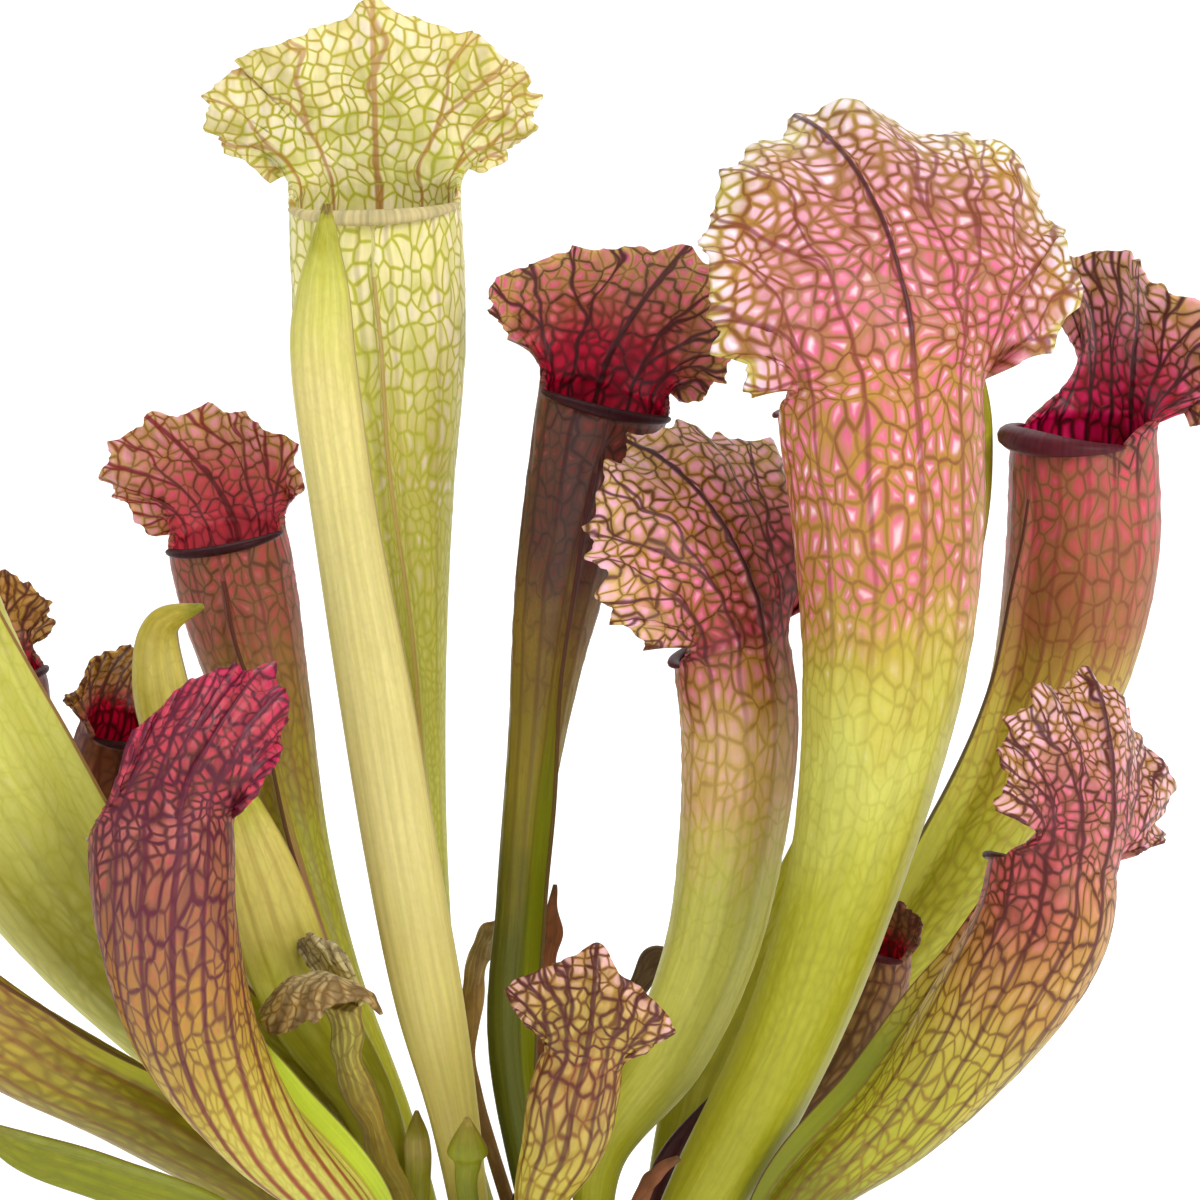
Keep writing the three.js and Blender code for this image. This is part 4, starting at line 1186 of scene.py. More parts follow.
def lip_material(name, colour):
    """The smooth rolled lip, with faint cross streaks."""
    material, tree = new_material(name)
    streaks = tree.noise(tree.place("surface") * (14.0, 1.5, 1.0), 1.0, 2.0)
    tone = tree.lit(colour, tree.rise(streaks, 0.25, 0.75, 0.72, 1.25))
    tree.finish(tone, 0.45, streaks, (0.0003, 0.4), soft(0.18, 0.1, 0.001))
    return material


def earth_material(name, dark, pale, size, gloss):
    """Uneven brown skin with streaks and specks, for the rhizome, its roots and its dry scales."""
    material, tree = new_material(name)
    position = tree.out("ShaderNodeTexCoord", {}, "Object")
    cloud, speck = tree.noise(position, size, 6.0), tree.noise(position, size * 7, 3.0)
    tone = tree.blend(tree.rise(cloud, 0.36, 0.64), dark, pale)
    tone = tree.lit(tone, tree.rise(speck, 0.3, 0.7, 0.7, 1.3))
    rough = tree.rise(speck, 0.2, 0.8, gloss - 0.08, gloss + 0.1)
    tree.finish(tone, rough, cloud + speck * 0.4, (0.0008, 0.7), {})
    return material


def apply_tree(piece, group, values):
    """Runs a geometry tree on a piece with the given inputs and keeps the result as its mesh."""
    modifier = piece.modifiers.new(group.name, "NODES")
    modifier.node_group = group
    sockets = {item.name: item.identifier for item in group.interface.items_tree if item.in_out == "INPUT"}
    for name, value in values.items():
        modifier[sockets[name]] = value
    made = piece.evaluated_get(bpy.context.evaluated_depsgraph_get())
    mesh = bpy.data.meshes.new_from_object(made)
    old = piece.data
    piece.modifiers.clear()
    piece.data = mesh
    mesh.name = piece.name
    bpy.data.meshes.remove(old)


def new_geometry(name, lengths):
    """A geometry tree with lengths as named inputs: its helper, its inputs and its output's socket."""
    group = bpy.data.node_groups.new(name, "GeometryNodeTree")
    for way in ("INPUT", "OUTPUT"):
        group.interface.new_socket("Geometry", in_out=way, socket_type="NodeSocketGeometry")
    for label, default in lengths.items():
        socket = group.interface.new_socket(label, in_out="INPUT", socket_type="NodeSocketFloat")
        socket.subtype, socket.default_value = "DISTANCE", default
    tree = Tree(group)
    given = {socket.name: Out(tree, socket) for socket in tree.add("NodeGroupInput", {}).outputs}
    return tree, given, tree.add("NodeGroupOutput", {}).inputs[0]


def relief_tree(name, look, half, seed):
    """Raises the veins of a pitcher and swells the cells between them."""
    tree, given, end = new_geometry(name, {"Ridge": 0.0002, "Swell": 0.00025})
    veins = vein_pattern(tree, look, half, seed)
    strong = tree.most(tree.fall(veins.fine, 0.2, 0.9) * veins.strong, tree.fall(veins.main, 0.2, 0.9))
    height = strong * given["Ridge"] + tree.rise(veins.fine, 0.0, 1.6) * given["Swell"]
    along_leaf = tree.parts(tree.place("flow"))[1]
    shown = tree.rise(along_leaf, 0.2, 0.9, 0.35, 1.0) * tree.kept("relief")
    normal = tree.out("GeometryNodeInputNormal", {})
    tree.feed(end, tree.moved(given["Geometry"], "Offset", normal * (height * shown)))
    return tree.group


# Colours and finishes of each kind of leaf
LOOKS = {
    "cream_green": Look(
        ground="0 leaf_green, .3 lime, .7 lime, 1.1 lime, 1.6 net_green, 2 straw",
        spot="0 lime .2, .5 lime .5, .72 straw .8, .88 cream .85, 2 cream .95",
        net="0 deep_green .1, .6 net_green .5, 1 net_green .7, 2 net_green .6",
        vein="0 olive .1, .8 olive .3, 1 olive .4, 1.05 amber .85, 2 amber .65",
        wing="leaf_green", pale="white_pink", lip="lip_straw", edge="tan",
        coarse=0.3, gap=0.34, fine_mm=2.7, border_mm=0.55, line_mm=0.34, cell_from=0.45, cell_to=1.0,
    ),
    "maroon": Look(
        ground="0 dark_green, .35 dark_green, .55 olive, .72 olive_brown, .84 umber, 1 umber, 1.4 wine, "
        "1.7 brown_ochre, 2 pale_ochre",
        spot="0 leaf_green .2, .6 olive .3, .8 red_brown .5, 1 brick .65, 1.3 rose .7, 1.6 dull_pink .9, "
        "2 pink 1",
        net="0 dark_green .2, .6 olive_brown .2, .85 dark_maroon .25, 1.03 maroon .5, 2 red_brown .55",
        vein="0 dark_green .2, .6 maroon .35, .9 dark_maroon .5, 1.02 dark_maroon .9, 2 maroon .95",
        wing="deep_green", pale="pale_pink", lip="dark_maroon", edge="maroon",
        fine_mm=2.7, coarse_mm=8, throat=1.0, blush=0.4, wing_to=0.7,
    ),
    "pink_brown": Look(
        ground="0 leaf_green, .2 leaf_green, .4 lime, .58 lime, .72 pale_ochre, .84 pale_ochre, "
        ".96 ochre, 1.12 wine, "
        "1.4 brown_ochre, 1.8 ochre, 2 pale_ochre",
        spot="0 lime .05, .5 lime .15, .7 pale_pink .25, .86 pale_pink .45, 1 pink .7, 1.2 rose .8, "
        "1.5 pink 1, "
        "2 pale_pink 1",
        net="0 deep_green .05, .6 olive .12, .85 brown .3, 1.03 wine .65, 2 maroon .65",
        vein="0 deep_green .05, .6 olive .15, .9 red_brown .35, 1.05 maroon .9, 2 maroon .9",
        pale="pale_pink", lip="grey_maroon", edge="margin_red", fine_mm=2.8, blush=0.7,
        midrib_shadow=0.8, flush=-1.0,
    ),
    "pink_white": Look(
        ground="0 leaf_green, .45 leaf_green, .6 lime, .7 olive_lime, .8 ochre, 1.1 ochre, 1.35 rosy_brown, "
        "1.7 rosy_brown, 1.9 ochre, 2 straw",
        spot="0 lime .05, .5 lime .15, .68 straw .3, .78 pink .8, .95 pink .95, 1.5 pink 1, "
        "1.85 pale_pink 1, "
        "2 white_pink 1",
        net="0 deep_green .04, .6 olive .2, .78 brown .4, 1 red_brown .5, 1.3 red_brown .65, "
        "2 olive_brown .6",
        vein="0 deep_green .05, .6 olive .15, .78 red_brown .45, 1.1 red_brown .8, 2 red_brown .8",
        wing="leaf_green", pale="white_pink", lip="grey_maroon", edge="olive", fine_mm=3.1, blush=0.9,
        midrib_shadow=0.8,
    ),
    "crimson": Look(
        ground="0 leaf_green, .5 leaf_green, .66 olive_lime, .78 brown_ochre, 1 dusky_brown, 1.15 wine, "
        "1.6 rosy_brown, 2 pale_ochre",
        spot="0 lime .2, .55 lime .3, .75 brown_ochre .5, .9 rose .7, .99 rose .9, 1.35 rose .9, "
        "1.5 pink 1, 1.85 pale_pink .95, 2 pale_pink 1",
        net="0 deep_green .05, .65 brown .4, .85 red_brown .5, .98 red_brown .55, 1.05 maroon .65, "
        "2 maroon .6",
        vein="0 deep_green .05, .5 red_brown .12, .7 red_brown .6, .97 red_brown .45, 1.03 dark_maroon .95, "
        "2 maroon .95",
        wing="leaf_green", pale="pink", lip="grey_maroon", edge="dark_maroon",
        gap=0.22, coarse_mm=8, throat=1.2, glow="hot_pink",
    ),
    "ochre_pink": Look(
        ground="0 leaf_green, .5 leaf_green, .65 olive_brown, .8 dusky_brown, 1 dusky_brown, "
        "1.3 brown_ochre, "
        "2 pale_ochre",
        spot="0 lime .2, .6 olive_lime .3, .78 rose .4, .98 rose .7, 1.3 rose 1, 1.6 pink 1, 2 pale_pink .9",
        net="0 deep_green .05, .65 brown .35, .98 maroon .5, 1.05 maroon .45, 1.4 maroon .5, 2 maroon .55",
        vein="0 deep_green .05, .6 red_brown .3, .97 maroon .6, 1.05 maroon .72, 1.4 maroon .85, "
        "2 margin_red .9",
        wing="dusky_brown", pale="pale_pink", lip="dark_maroon", edge="maroon",
        fine_mm=2.6, coarse_mm=7.5, vein_mm=0.5, throat=1.2, throat_skin="rose", glow="light_red",
    ),
    "purple": Look(
        ground="0 lime, .3 lime, .5 olive_lime, .65 ochre, .8 dusky_brown, 1 red_umber, 1.5 red_umber, "
        "2 rose",
        spot="0 lime .3, .45 straw .5, .65 ochre .6, .82 brown_ochre .7, 1 dull_pink .6, 1.3 rose .7, "
        "1.8 rose .9, 2 hot_pink 1",
        net="0 margin_red 0, .4 margin_red .2, .6 purple_maroon .6, 1 purple_maroon .75, 2 purple_maroon .5",
        vein="0 margin_red .5, .3 margin_red .85, .6 purple_maroon .85, 2 purple_maroon .9",
        wing="wing_green", pale="rose", lip="lip_grey", edge="purple_maroon",
        coarse=0.9, gap=0.26, fine_mm=2.2, coarse_mm=6.5, border_mm=0.8, vein_mm=0.75, throat=0.6, blush=1.0,
        wing_to=0.85,
    ),
    "ochre_green": Look(
        ground="0 leaf_green, .4 olive_lime, .7 olive_brown, 1 brown_ochre, 1.6 olive_brown, 2 ochre",
        spot="0 lime .4, .5 straw .6, .8 pale_ochre .7, 1.3 straw .6, 1.7 pale_ochre .8, 2 pale_pink .8",
        net="0 red_brown .1, .45 wine .5, .8 wine .7, 2 maroon .7",
        vein="0 red_brown .4, .5 maroon .8, 2 maroon .95",
        pale="pale_ochre", lip="red_brown", edge="margin_red",
        fine_mm=2.3, coarse_mm=6, border_mm=0.8, throat=0.3, blush=0.6,
    ),
    "brown_net": Look(
        ground="0 deep_green, .25 deep_green, .42 leaf_green, .54 olive_lime, .66 ochre, .85 ochre, "
        "1.05 dusky_brown, "
        "1.5 rosy_brown, 2 ochre",
        spot="0 lime .05, .5 straw .2, .75 pale_ochre .6, 1 dull_pink .75, 1.4 pink .85, "
        "1.85 pale_pink .9, 2 pale_pink 1",
        net="0 red_brown .05, .4 wine .5, .6 maroon .65, 2 maroon .7",
        vein="0 red_brown .2, .5 maroon .7, 1 maroon .95, 2 maroon .95",
        wing="deep_green", pale="pale_pink", lip="dark_maroon", edge="maroon",
        fine_mm=2.2, coarse_mm=7, border_mm=0.85, line_mm=0.3, throat=0.4, flush=0.85,
    ),
    "dull_brown": Look(
        ground="0 olive, .4 brown, .97 red_umber, 1.25 dusky_brown, 1.6 ochre, 2 ochre",
        spot="0 olive .3, .6 dusky_brown .5, .98 red_brown .5, 1.4 dull_pink .7, 2 pale_ochre .8",
        net="0 brown .3, 1 maroon .5, 2 red_brown .5",
        vein="0 brown .3, .6 maroon .5, 1.05 maroon .9, 2 maroon .9",
        pale="dull_pink", lip="dark_maroon", edge="maroon",
        fine_mm=2.2, coarse_mm=5.5, border_mm=0.8, throat=0.55, blush=0.3,
    ),
    "light_green": Look(
        ground="0 olive_lime, .35 leaf_green, .6 lime, 2 lime",
        spot="0 lime .3, .6 lime .5, .9 straw .5, 2 cream .9",
        net="0 olive .15, .7 net_green .2, 1 net_green .3, 2 net_green .8",
        vein="0 olive .3, .7 olive .2, 1.05 amber .6, 2 amber .6",
        wing="leaf_green", pale="cream", lip="lip_straw", edge="red_brown", coarse=0.3, border_mm=0.8,
        blush=0.4,
    ),
    "olive_brown": Look(
        ground="0 olive, .5 olive, .7 olive_brown, 1 olive_brown, 2 ochre",
        spot="0 leaf_green .4, .6 olive_lime .6, 1 ochre .6, 2 dull_pink .6",
        net="0 olive_brown .1, .5 brown .2, 1 red_brown .5, 2 red_brown .6",
        vein="0 brown .3, .5 red_brown .45, 2 maroon .9",
        wing="leaf_green", pale="pale_ochre", lip="red_brown", edge="maroon",
        coarse=0.6, gap=0.24, fine_mm=2.4, throat=0.4, blush=0.3,
    ),
    "dying": Look(
        ground="0 bark, .6 brown, .95 dusky_brown, 2 brown",
        spot="0 grey_brown .4, .8 tan .5, 2 rose .4",
        net="0 brown_dark .4, 2 brown_dark .6",
        vein="0 brown_dark .5, 2 maroon .8",
        wing="grey_brown", pale="grey_brown", lip="maroon", edge="brown_dark",
        fine_mm=2.2, coarse_mm=5.5, throat=0.6, dry=0.3, rough=0.6,
    ),
    "cream_leaf": Look(
        ground="0 olive, .12 straw, .4 cream_yellow, .72 cream_yellow, .88 lime, .97 leaf_green, 1 bark",
        spot="0 lime .2, 2 lime .2",
        net="0 straw .15, 2 olive .12",
        vein="0 olive .1, .7 olive .16, 2 olive .2",
        pale="cream", edge="olive_brown", coarse=0.2, gap=0.31,
    ),
    "olive_leaf": Look(
        ground="0 leaf_green, .5 olive_lime, .75 straw, .9 olive_lime, 1 deep_green",
        spot="0 lime .2, 2 straw .3",
        net="0 olive .1, 2 olive .15",
        vein="0 olive .15, 2 brown .25",
        pale="cream", edge="brown", coarse=0.2, gap=0.5, rough=0.36,
    ),
    "green_leaf": Look(
        ground="0 leaf_green, .4 leaf_green, .55 straw, .68 straw, .8 leaf_green, 1 olive",
        spot="0 lime .3, 2 lime .3",
        net="0 deep_green .08, 2 olive .12",
        vein="0 deep_green .12, .6 olive_brown .35, 2 olive_brown .4",
        pale="cream", edge="olive_brown", coarse=0.2, gap=0.5,
    ),
    "dark_green_leaf": Look(
        ground="0 dark_green, .4 deep_green, .8 deep_green, .95 olive, 1 tan",
        spot="0 deep_green .3, 2 leaf_green .4",
        net="0 dark_green .1, 2 dark_green .2",
        vein="0 dark_green .3, 2 olive_brown .4",
        pale="lime", edge="brown", coarse=0.2, gap=0.5,
    ),
    "dark_base": Look(
        ground="0 brown_dark, .4 maroon, 1 dark_maroon",
        spot="0 maroon .4, 2 red_brown .4",
        net="0 dark_maroon .3, 2 dark_maroon .4",
        vein="0 dark_maroon .5, 2 dark_maroon .5",
        pale="red_brown", edge="maroon", coarse=0.3, gap=0.5, rough=0.34,
    ),
    "dried_rust": Look(
        ground="0 bark, .5 rust, .85 rust, 1 brown",
        spot="0 brown .4, 2 dull_pink .4",
        net="0 brown_dark .3, 2 brown_dark .4",
        vein="0 brown_dark .5, 2 bark .6",
        pale="tan", edge="bark", gap=0.4, rough=0.75, dry=0.35,
    ),
    "dried_beige": Look(
        ground="0 bark, .5 tan, .8 beige, 1 tan",
        spot="0 tan .4, 2 beige .5",
        net="0 brown .3, 2 brown .4",
        vein="0 brown .4, 2 bark .6",
        pale="beige", edge="brown", gap=0.4, rough=0.75, dry=0.3,
    ),
    "dried_grey": Look(
        ground="0 bark, .5 grey_brown, 1 grey_brown",
        spot="0 brown .4, 2 tan .4",
        net="0 brown_dark .4, 2 brown_dark .5",
        vein="0 brown_dark .5, 2 brown_dark .6",
        pale="tan", edge="brown_dark", gap=0.4, rough=0.78, dry=0.4,
    ),
    "withered": Look(
        ground="0 leaf_green, .5 olive_lime, .85 lime, 1 straw",
        spot="0 olive .3, 2 straw .4",
        net="0 olive_brown .3, 2 brown .6",
        vein="0 brown .4, 2 red_umber .8",
        pale="straw", edge="brown", gap=0.4, rough=0.6, dry=0.15,
    ),
    "withered_hood": Look(
        ground="0 olive, 1.05 lime, 1.25 straw, 1.5 beige, 1.8 tan, 2 tan",
        spot="0 tan .4, 1.3 beige .6, 2 beige .5",
        net="0 brown .3, 2 brown .5",
        vein="0 brown .3, 2 brown_dark .6",
        pale="beige", edge="brown",
        fine_mm=2, coarse_mm=5, gap=0.35, rough=0.78, dry=0.3,
    ),
}


def colour(name, use, code):
    """A colour property from its code as it looks on screen."""
    parts = [int(code[k : k + 2], 16) / 255 for k in (0, 2, 4)]
    linear = [p / 12.92 if p <= 0.04045 else ((p + 0.055) / 1.055) ** 2.4 for p in parts]
    return bpy.props.FloatVectorProperty(
        name=name, description=use, subtype="COLOR", size=3, min=0, max=1, default=linear
    )


class PlantColours(bpy.types.PropertyGroup):
    """Colours of the plant, from fresh greens to dried browns."""

    leaf_green: colour("Leaf green", "Lower halves of the tubes", "A8A63A")
    lime: colour("Lime", "Lit green skin and pale cells", "CAC868")
    wing_green: colour("Wing green", "The bright wing of the left front pitcher", "B8C64A")
    deep_green: colour("Deep green", "Tubes and wings in the shade", "7C8020")
    dark_green: colour("Dark green", "Foot of the maroon pitcher and low leaves", "565C18")
    net_green: colour("Net green", "Net of veins on the cream hood", "ABA838")
    olive_lime: colour("Olive lime", "Skin where green turns to ochre", "B6A548")
    olive: colour("Olive", "Dull green skin and faint veins", "8C8030")
    olive_brown: colour("Olive brown", "Skin where green turns to brown", "967A3A")
    cream: colour("Cream", "Clear cells of the cream hood", "F0E6AE")
    cream_yellow: colour("Cream yellow", "The unopened cream leaf", "D8CB8A")
    straw: colour("Straw", "Pale yellow skin and margins", "CDBE6C")
    lip_straw: colour("Straw lip", "Lips of the green pitchers", "C6B682")
    lip_grey: colour("Grey lip", "Pale lip of the left front pitcher", "A89890")
    ochre: colour("Ochre", "Skin between veins", "B28846")
    pale_ochre: colour("Pale ochre", "Skin near the hoods' margins", "D0AE6C")
    brown_ochre: colour("Brown ochre", "Skin of brown and pink tubes", "986A3E")
    dusky_brown: colour("Dusky brown", "Skin of the ochre pitcher's tube", "93634A")
    rosy_brown: colour("Rosy brown", "Skin of the pink hoods", "AC7456")
    amber: colour("Amber", "Main veins of the cream hood", "A87440")
    pink: colour("Pink", "Cells of the large hoods", "DE7492")
    pale_pink: colour("Pale pink", "Pale cells near the margins", "F4BECC")
    white_pink: colour("Pinkish white", "The clearest cells", "FFF0F2")
    # Rose also paints the cells on the shaded side, with the wine skin
    rose: colour("Rose", "Reddish cells", "CE5664")
    dull_pink: colour("Dull pink", "Brownish pink cells", "D07C78")
    hot_pink: colour("Hot pink", "Bright margin of the left front hood", "D8446E")
    bright_crimson: colour("Bright crimson", "Lit cells in the throats", "E02448")
    light_red: colour("Light red", "Lit cells in the ochre hood's throat", "E4606C")
    crimson: colour("Crimson", "Skin in the throats", "A01430")
    brick: colour("Brick", "Blotches on the maroon tube", "88362E")
    margin_red: colour("Margin red", "Thin red margins and veins", "8C1F30")
    red_brown: colour("Red brown", "Veins of the pink hoods", "7C3830")
    red_umber: colour("Red umber", "Brown skin with red in it", "663628")
    # Wine also paints the shade on one side of some tubes and hoods, mixed with their own wine colour
    wine: colour("Wine", "Middle of the maroon hood", "7A3434")
    umber: colour("Umber", "The maroon pitcher's tube", "5C3E34")
    maroon: colour("Maroon", "Strong veins", "4E1A1C")
    # Dark maroon also paints the shadow along the pink hoods' keels
    dark_maroon: colour("Dark maroon", "The darkest veins and lips", "340A12")
    grey_maroon: colour("Grey maroon", "The thick lip of the right pitcher", "521822")
    purple_maroon: colour("Purple maroon", "Veins of the left front pitcher", "54162C")
    brown: colour("Brown", "Old skin and fine brown veins", "7A5834")
    bark: colour("Bark", "Feet of old leaves", "6B4C30")
    brown_dark: colour("Dark brown", "Blotches and the rhizome", "4A3322")
    grey_brown: colour("Grey brown", "Dead leaf skin", "85715C")
    rust: colour("Rust", "Dried reddish leaves", "A2603C")
    tan: colour("Tan", "Dried leaves", "BA9A60")
    beige: colour("Beige", "Pale dried leaves", "D2C296")


class PlantSizes(bpy.types.PropertyGroup):
    """How fine the meshes are and how deep their relief is."""

    fineness: bpy.props.FloatProperty(
        name="Fineness", description="Density of every leaf's mesh", default=0.93, min=0.2, max=1.5,
        unit="NONE",
    )
    ridge: bpy.props.FloatProperty(
        name="Vein ridge", description="How far the main veins stand out", default=0.0002, unit="LENGTH"
    )
    swell: bpy.props.FloatProperty(
        name="Cell swell", description="How far the cells between veins bulge", default=0.00025, unit="LENGTH"
    )
    fine_root: bpy.props.FloatProperty(
        name="Fine root", description="Length of the fine roots on the root mat", default=0.013, unit="LENGTH"
    )
    bud_scale: bpy.props.FloatProperty(
        name="Bud scale", description="Length of the dry scales round the growing points", default=0.008,
        unit="LENGTH",
    )
    lumps: bpy.props.FloatProperty(
        name="Lumps", description="How uneven the rhizome's skin is", default=0.0012, unit="LENGTH"
    )


def new_piece(name, mesh, materials):
    """Links a new piece and gives it its materials."""
    piece = bpy.data.objects.new(name, mesh)
    bpy.context.scene.collection.objects.link(piece)
    for material in materials:
        piece.data.materials.append(material)
    return piece


def settle(piece, node):
    """Lets a finished piece stand for its node: hides the node's imported part and hangs the piece under the
    root body.
    """
    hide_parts(node)
    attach(piece, "root")


class PLANT_OT_open_pitchers(bpy.types.Operator):
    """Builds the open pitchers with their veins"""

    bl_idname = "plant.open_pitchers"
    bl_label = "Open pitchers"

    def execute(self, context):
        sizes, palette = context.scene.plant_sizes, context.scene.plant_colours
        fineness = sizes.fineness * 1
        for number, leaf in enumerate(OPEN_PITCHERS):
            leaf.seed = number + 1
            look = LOOKS[leaf.look]
            half = leaf.knots[-1][3]
            mesh = open_pitcher_mesh(leaf, fineness)
            skin = skin_material(leaf.name + "_skin", look, palette, half, leaf.seed)
            lip = lip_material(leaf.name + "_lip", rgba(palette, look.lip))
            piece = new_piece(leaf.name + "_leaf", mesh, [skin, lip])
            group = relief_tree(leaf.name + "_relief", look, half, leaf.seed)
            apply_tree(piece, group, {"Ridge": sizes.ridge, "Swell": sizes.swell})
            settle(piece, leaf.name)
        return {"FINISHED"}


class PLANT_OT_closed_leaves(bpy.types.Operator):
    """Builds the unopened, flat and young leaves and the old leaf bases"""

    bl_idname = "plant.closed_leaves"
    bl_label = "Closed leaves"

    def execute(self, context):
        build_closed(context, CLOSED_LEAVES, CLOSED_SEED)
        return {"FINISHED"}


class PLANT_OT_dried_leaves(bpy.types.Operator):
    """Builds the dried old leaves"""

    bl_idname = "plant.dried_leaves"
    bl_label = "Dried leaves"

    def execute(self, context):
        build_closed(context, DRIED_LEAVES, DRIED_SEED)
        return {"FINISHED"}


def build_closed(context, leaves, first_seed):
    """Builds leaves that are closed all round."""
    sizes, palette = context.scene.plant_sizes, context.scene.plant_colours
    for number, leaf in enumerate(leaves):
        leaf.seed = first_seed + number
        half = max(knot[3] for knot in leaf.knots)
        mesh = closed_leaf_mesh(leaf, sizes.fineness)
        skin = skin_material(leaf.name + "_skin", LOOKS[leaf.look], palette, half, leaf.seed, "3D")
        settle(new_piece(leaf.name + "_leaf", mesh, [skin]), leaf.name)


class PLANT_OT_withered_pitcher(bpy.types.Operator):
    """Builds the dead pitcher with its shrivelled hood"""

    bl_idname = "plant.withered_pitcher"
    bl_label = "Withered pitcher"

    def execute(self, context):
        sizes, palette = context.scene.plant_sizes, context.scene.plant_colours
        WITHERED.seed = WITHERED_SEED
        mesh = withered_mesh(WITHERED, sizes.fineness)
        stalk = skin_material("withered_stalk", LOOKS["withered"], palette, STALK_HALF, WITHERED_SEED, "3D")
        hood_look = LOOKS["withered_hood"]
        hood = skin_material("withered_hood", hood_look, palette, SHEET_HALF, WITHERED_SEED + 1)
        settle(new_piece("pitcher_withered_leaf", mesh, [stalk, hood]), WITHERED.name)
        return {"FINISHED"}


# The rhizome's growing points as centre and radii, and the outline of the root mat under them, which
# is stretched across and has uneven lumps round it
GROWING_POINTS = [((28, 0, 21), (18, 20, 15)), ((2, 1, 21), (20, 26, 15)), ((-30, -3, 21), (21, 30, 15))]
MAT_PROFILE = [(0, 0), (29, 0), (33, 3), (31, 9), (22, 16), (0, 20)]
MAT_STRETCH, MAT_LUMPS = 1.35, 0.1
# Thick roots: their number, how far they reach past the mat, and their knots as a share of the
# reach, height, sway to the side and half width
ROOTS, ROOT_REACH = 16, 24
ROOT_KNOTS = [(0.35, 12, 0, 2.2), (0.62, 8, 0.5, 2.2), (0.85, 1.8, -0.6, 1.98), (1, 0.9, 0.8, 0.7)]
# Side of the cubes that fuse the rhizome into one skin, in metres
FUSE_VOXEL = 0.001
# Fine roots lie below the first height and dry scales above the second, in metres
ROOTS_BELOW, SCALES_ABOVE = 0.013, 0.017
# How many fine roots and dry scales to a square metre, and the range of their sizes
ROOT_CROWD, SCALE_CROWD = 42000.0, 26000.0
ROOT_SIZES, SCALE_SIZES = (0.45, 1.25), (0.6, 1.3)
# A fine root's curve, from start over its bend to its tip, in parts of its length, and its half
# width in metres
FINE_ROOT_BEND, FINE_ROOT_HALF = ((0.0, -0.08), (0.25, 0.75), (1.0, 0.15)), 0.00032


def root_leaf(number):
    """A thick root that runs out from under the rhizome and lies along the ground."""
    turn = math.tau * number / ROOTS + 0.25 * math.sin(5.3 * number)
    reach = MAT_PROFILE[2][0] + ROOT_REACH * (0.75 + 0.25 * math.sin(2.9 * number))
    knots = []
    for share, z, sway, half in ROOT_KNOTS:
        way = turn + 0.16 * sway * math.sin(3.7 * number)
        knots.append((reach * share * MAT_STRETCH * math.cos(way), reach * share * math.sin(way), z, half))
    return Leaf("root", knots, (180, 180), 1, "dark_base", "", crumple=0.25, seed=number)


def rhizome_mesh():
    """Growing points, root mat and thick roots as overlapping closed forms."""
    skin = Skin()
    way = np.linspace(0, math.tau, 96, endpoint=False)[None]
    for centre, radii in GROWING_POINTS:
        tilt = np.linspace(0.02, math.pi - 0.02, 40)[:, None]
        ball = [np.sin(tilt) * np.cos(way), np.sin(tilt) * np.sin(way), np.cos(tilt) + 0 * way]
        points = np.array(centre) + np.stack(ball, -1) * np.array(radii)
        skin.close(skin.add(points, (0, 0, 0), (0, 0, 0), 1), False)
    profile = along(MAT_PROFILE, np.linspace(0.04, 0.97, 40))
    swell = 1 + MAT_LUMPS * (0.6 * np.sin(3 * way + 1) + 0.4 * np.sin(7 * way))
    reach = profile[:, :1] * swell
    mat = [reach * MAT_STRETCH * np.cos(way), reach * np.sin(way), profile[:, 1:] + 0 * way]
    skin.close(skin.add(np.stack(mat, -1), (0, 0, 0), (0, 0, 0), 1))
    for number in range(ROOTS):
        skin.close(closed_rings(skin, root_leaf(number), np.linspace(0, 1, 60), 16))
    return skin.mesh("rhizome")


def rhizome_tree(skin, fibre, scale):
    """Roughens the rhizome, and grows fine roots low down and dry scales round its growing points."""
    lengths = {"Lumps": 0.0012, "Fine root": 0.013, "Bud scale": 0.008}
    tree, given, end = new_geometry("rhizome_growth", lengths)
    position = tree.out("GeometryNodeInputPosition", {})
    normal = tree.out("GeometryNodeInputNormal", {})
    slow, quick = (tree.noise(position, size, 3.0) for size in (70.0, 320.0))
    uneven = (slow + quick * 0.45 - 0.72) * given["Lumps"]
    body = tree.moved(given["Geometry"], "Offset", normal * (uneven * 2.0))
    body = tree.painted(above_ground(tree, body, 0.0, 0.0), skin)
    height, slope = tree.parts(position)[2], tree.parts(normal)[2]
    low = (height < ROOTS_BELOW) * (slope > -0.3)
    high = (height > SCALES_ABOVE) * (slope < 0.93)
    root = fine_root(tree, given["Fine root"])
    roots = scattered(tree, body, low, root, ROOT_CROWD, 3, ROOT_SIZES, False)
    waves = (tree.noise(position, 130.0, 2.0, "Color") - (0.5, 0.5, 0.62)) * 0.009
    roots = above_ground(tree, tree.moved(roots, "Offset", waves), 0.03, 0.0003)
    scales = bud_scale(tree, given["Bud scale"])
    scales = scattered(tree, body, high, scales, SCALE_CROWD, 8, SCALE_SIZES, True)
    joined = tree.add("GeometryNodeJoinGeometry", {})
    for part in (tree.painted(scales, scale), tree.painted(roots, fibre), body):
        tree.feed(joined.inputs[0], part)
    tree.feed(end, Out(tree, joined.outputs[0]))
    return tree.group


def above_ground(tree, geometry, share, lift):
    """Presses what would lie below the ground to a share of its depth, and lifts everything a little."""
    x, y, z = tree.parts(tree.out("GeometryNodeInputPosition", {}))
    return tree.moved(geometry, "Position", tree.joined(x, y, tree.most(z, z * share) + lift))


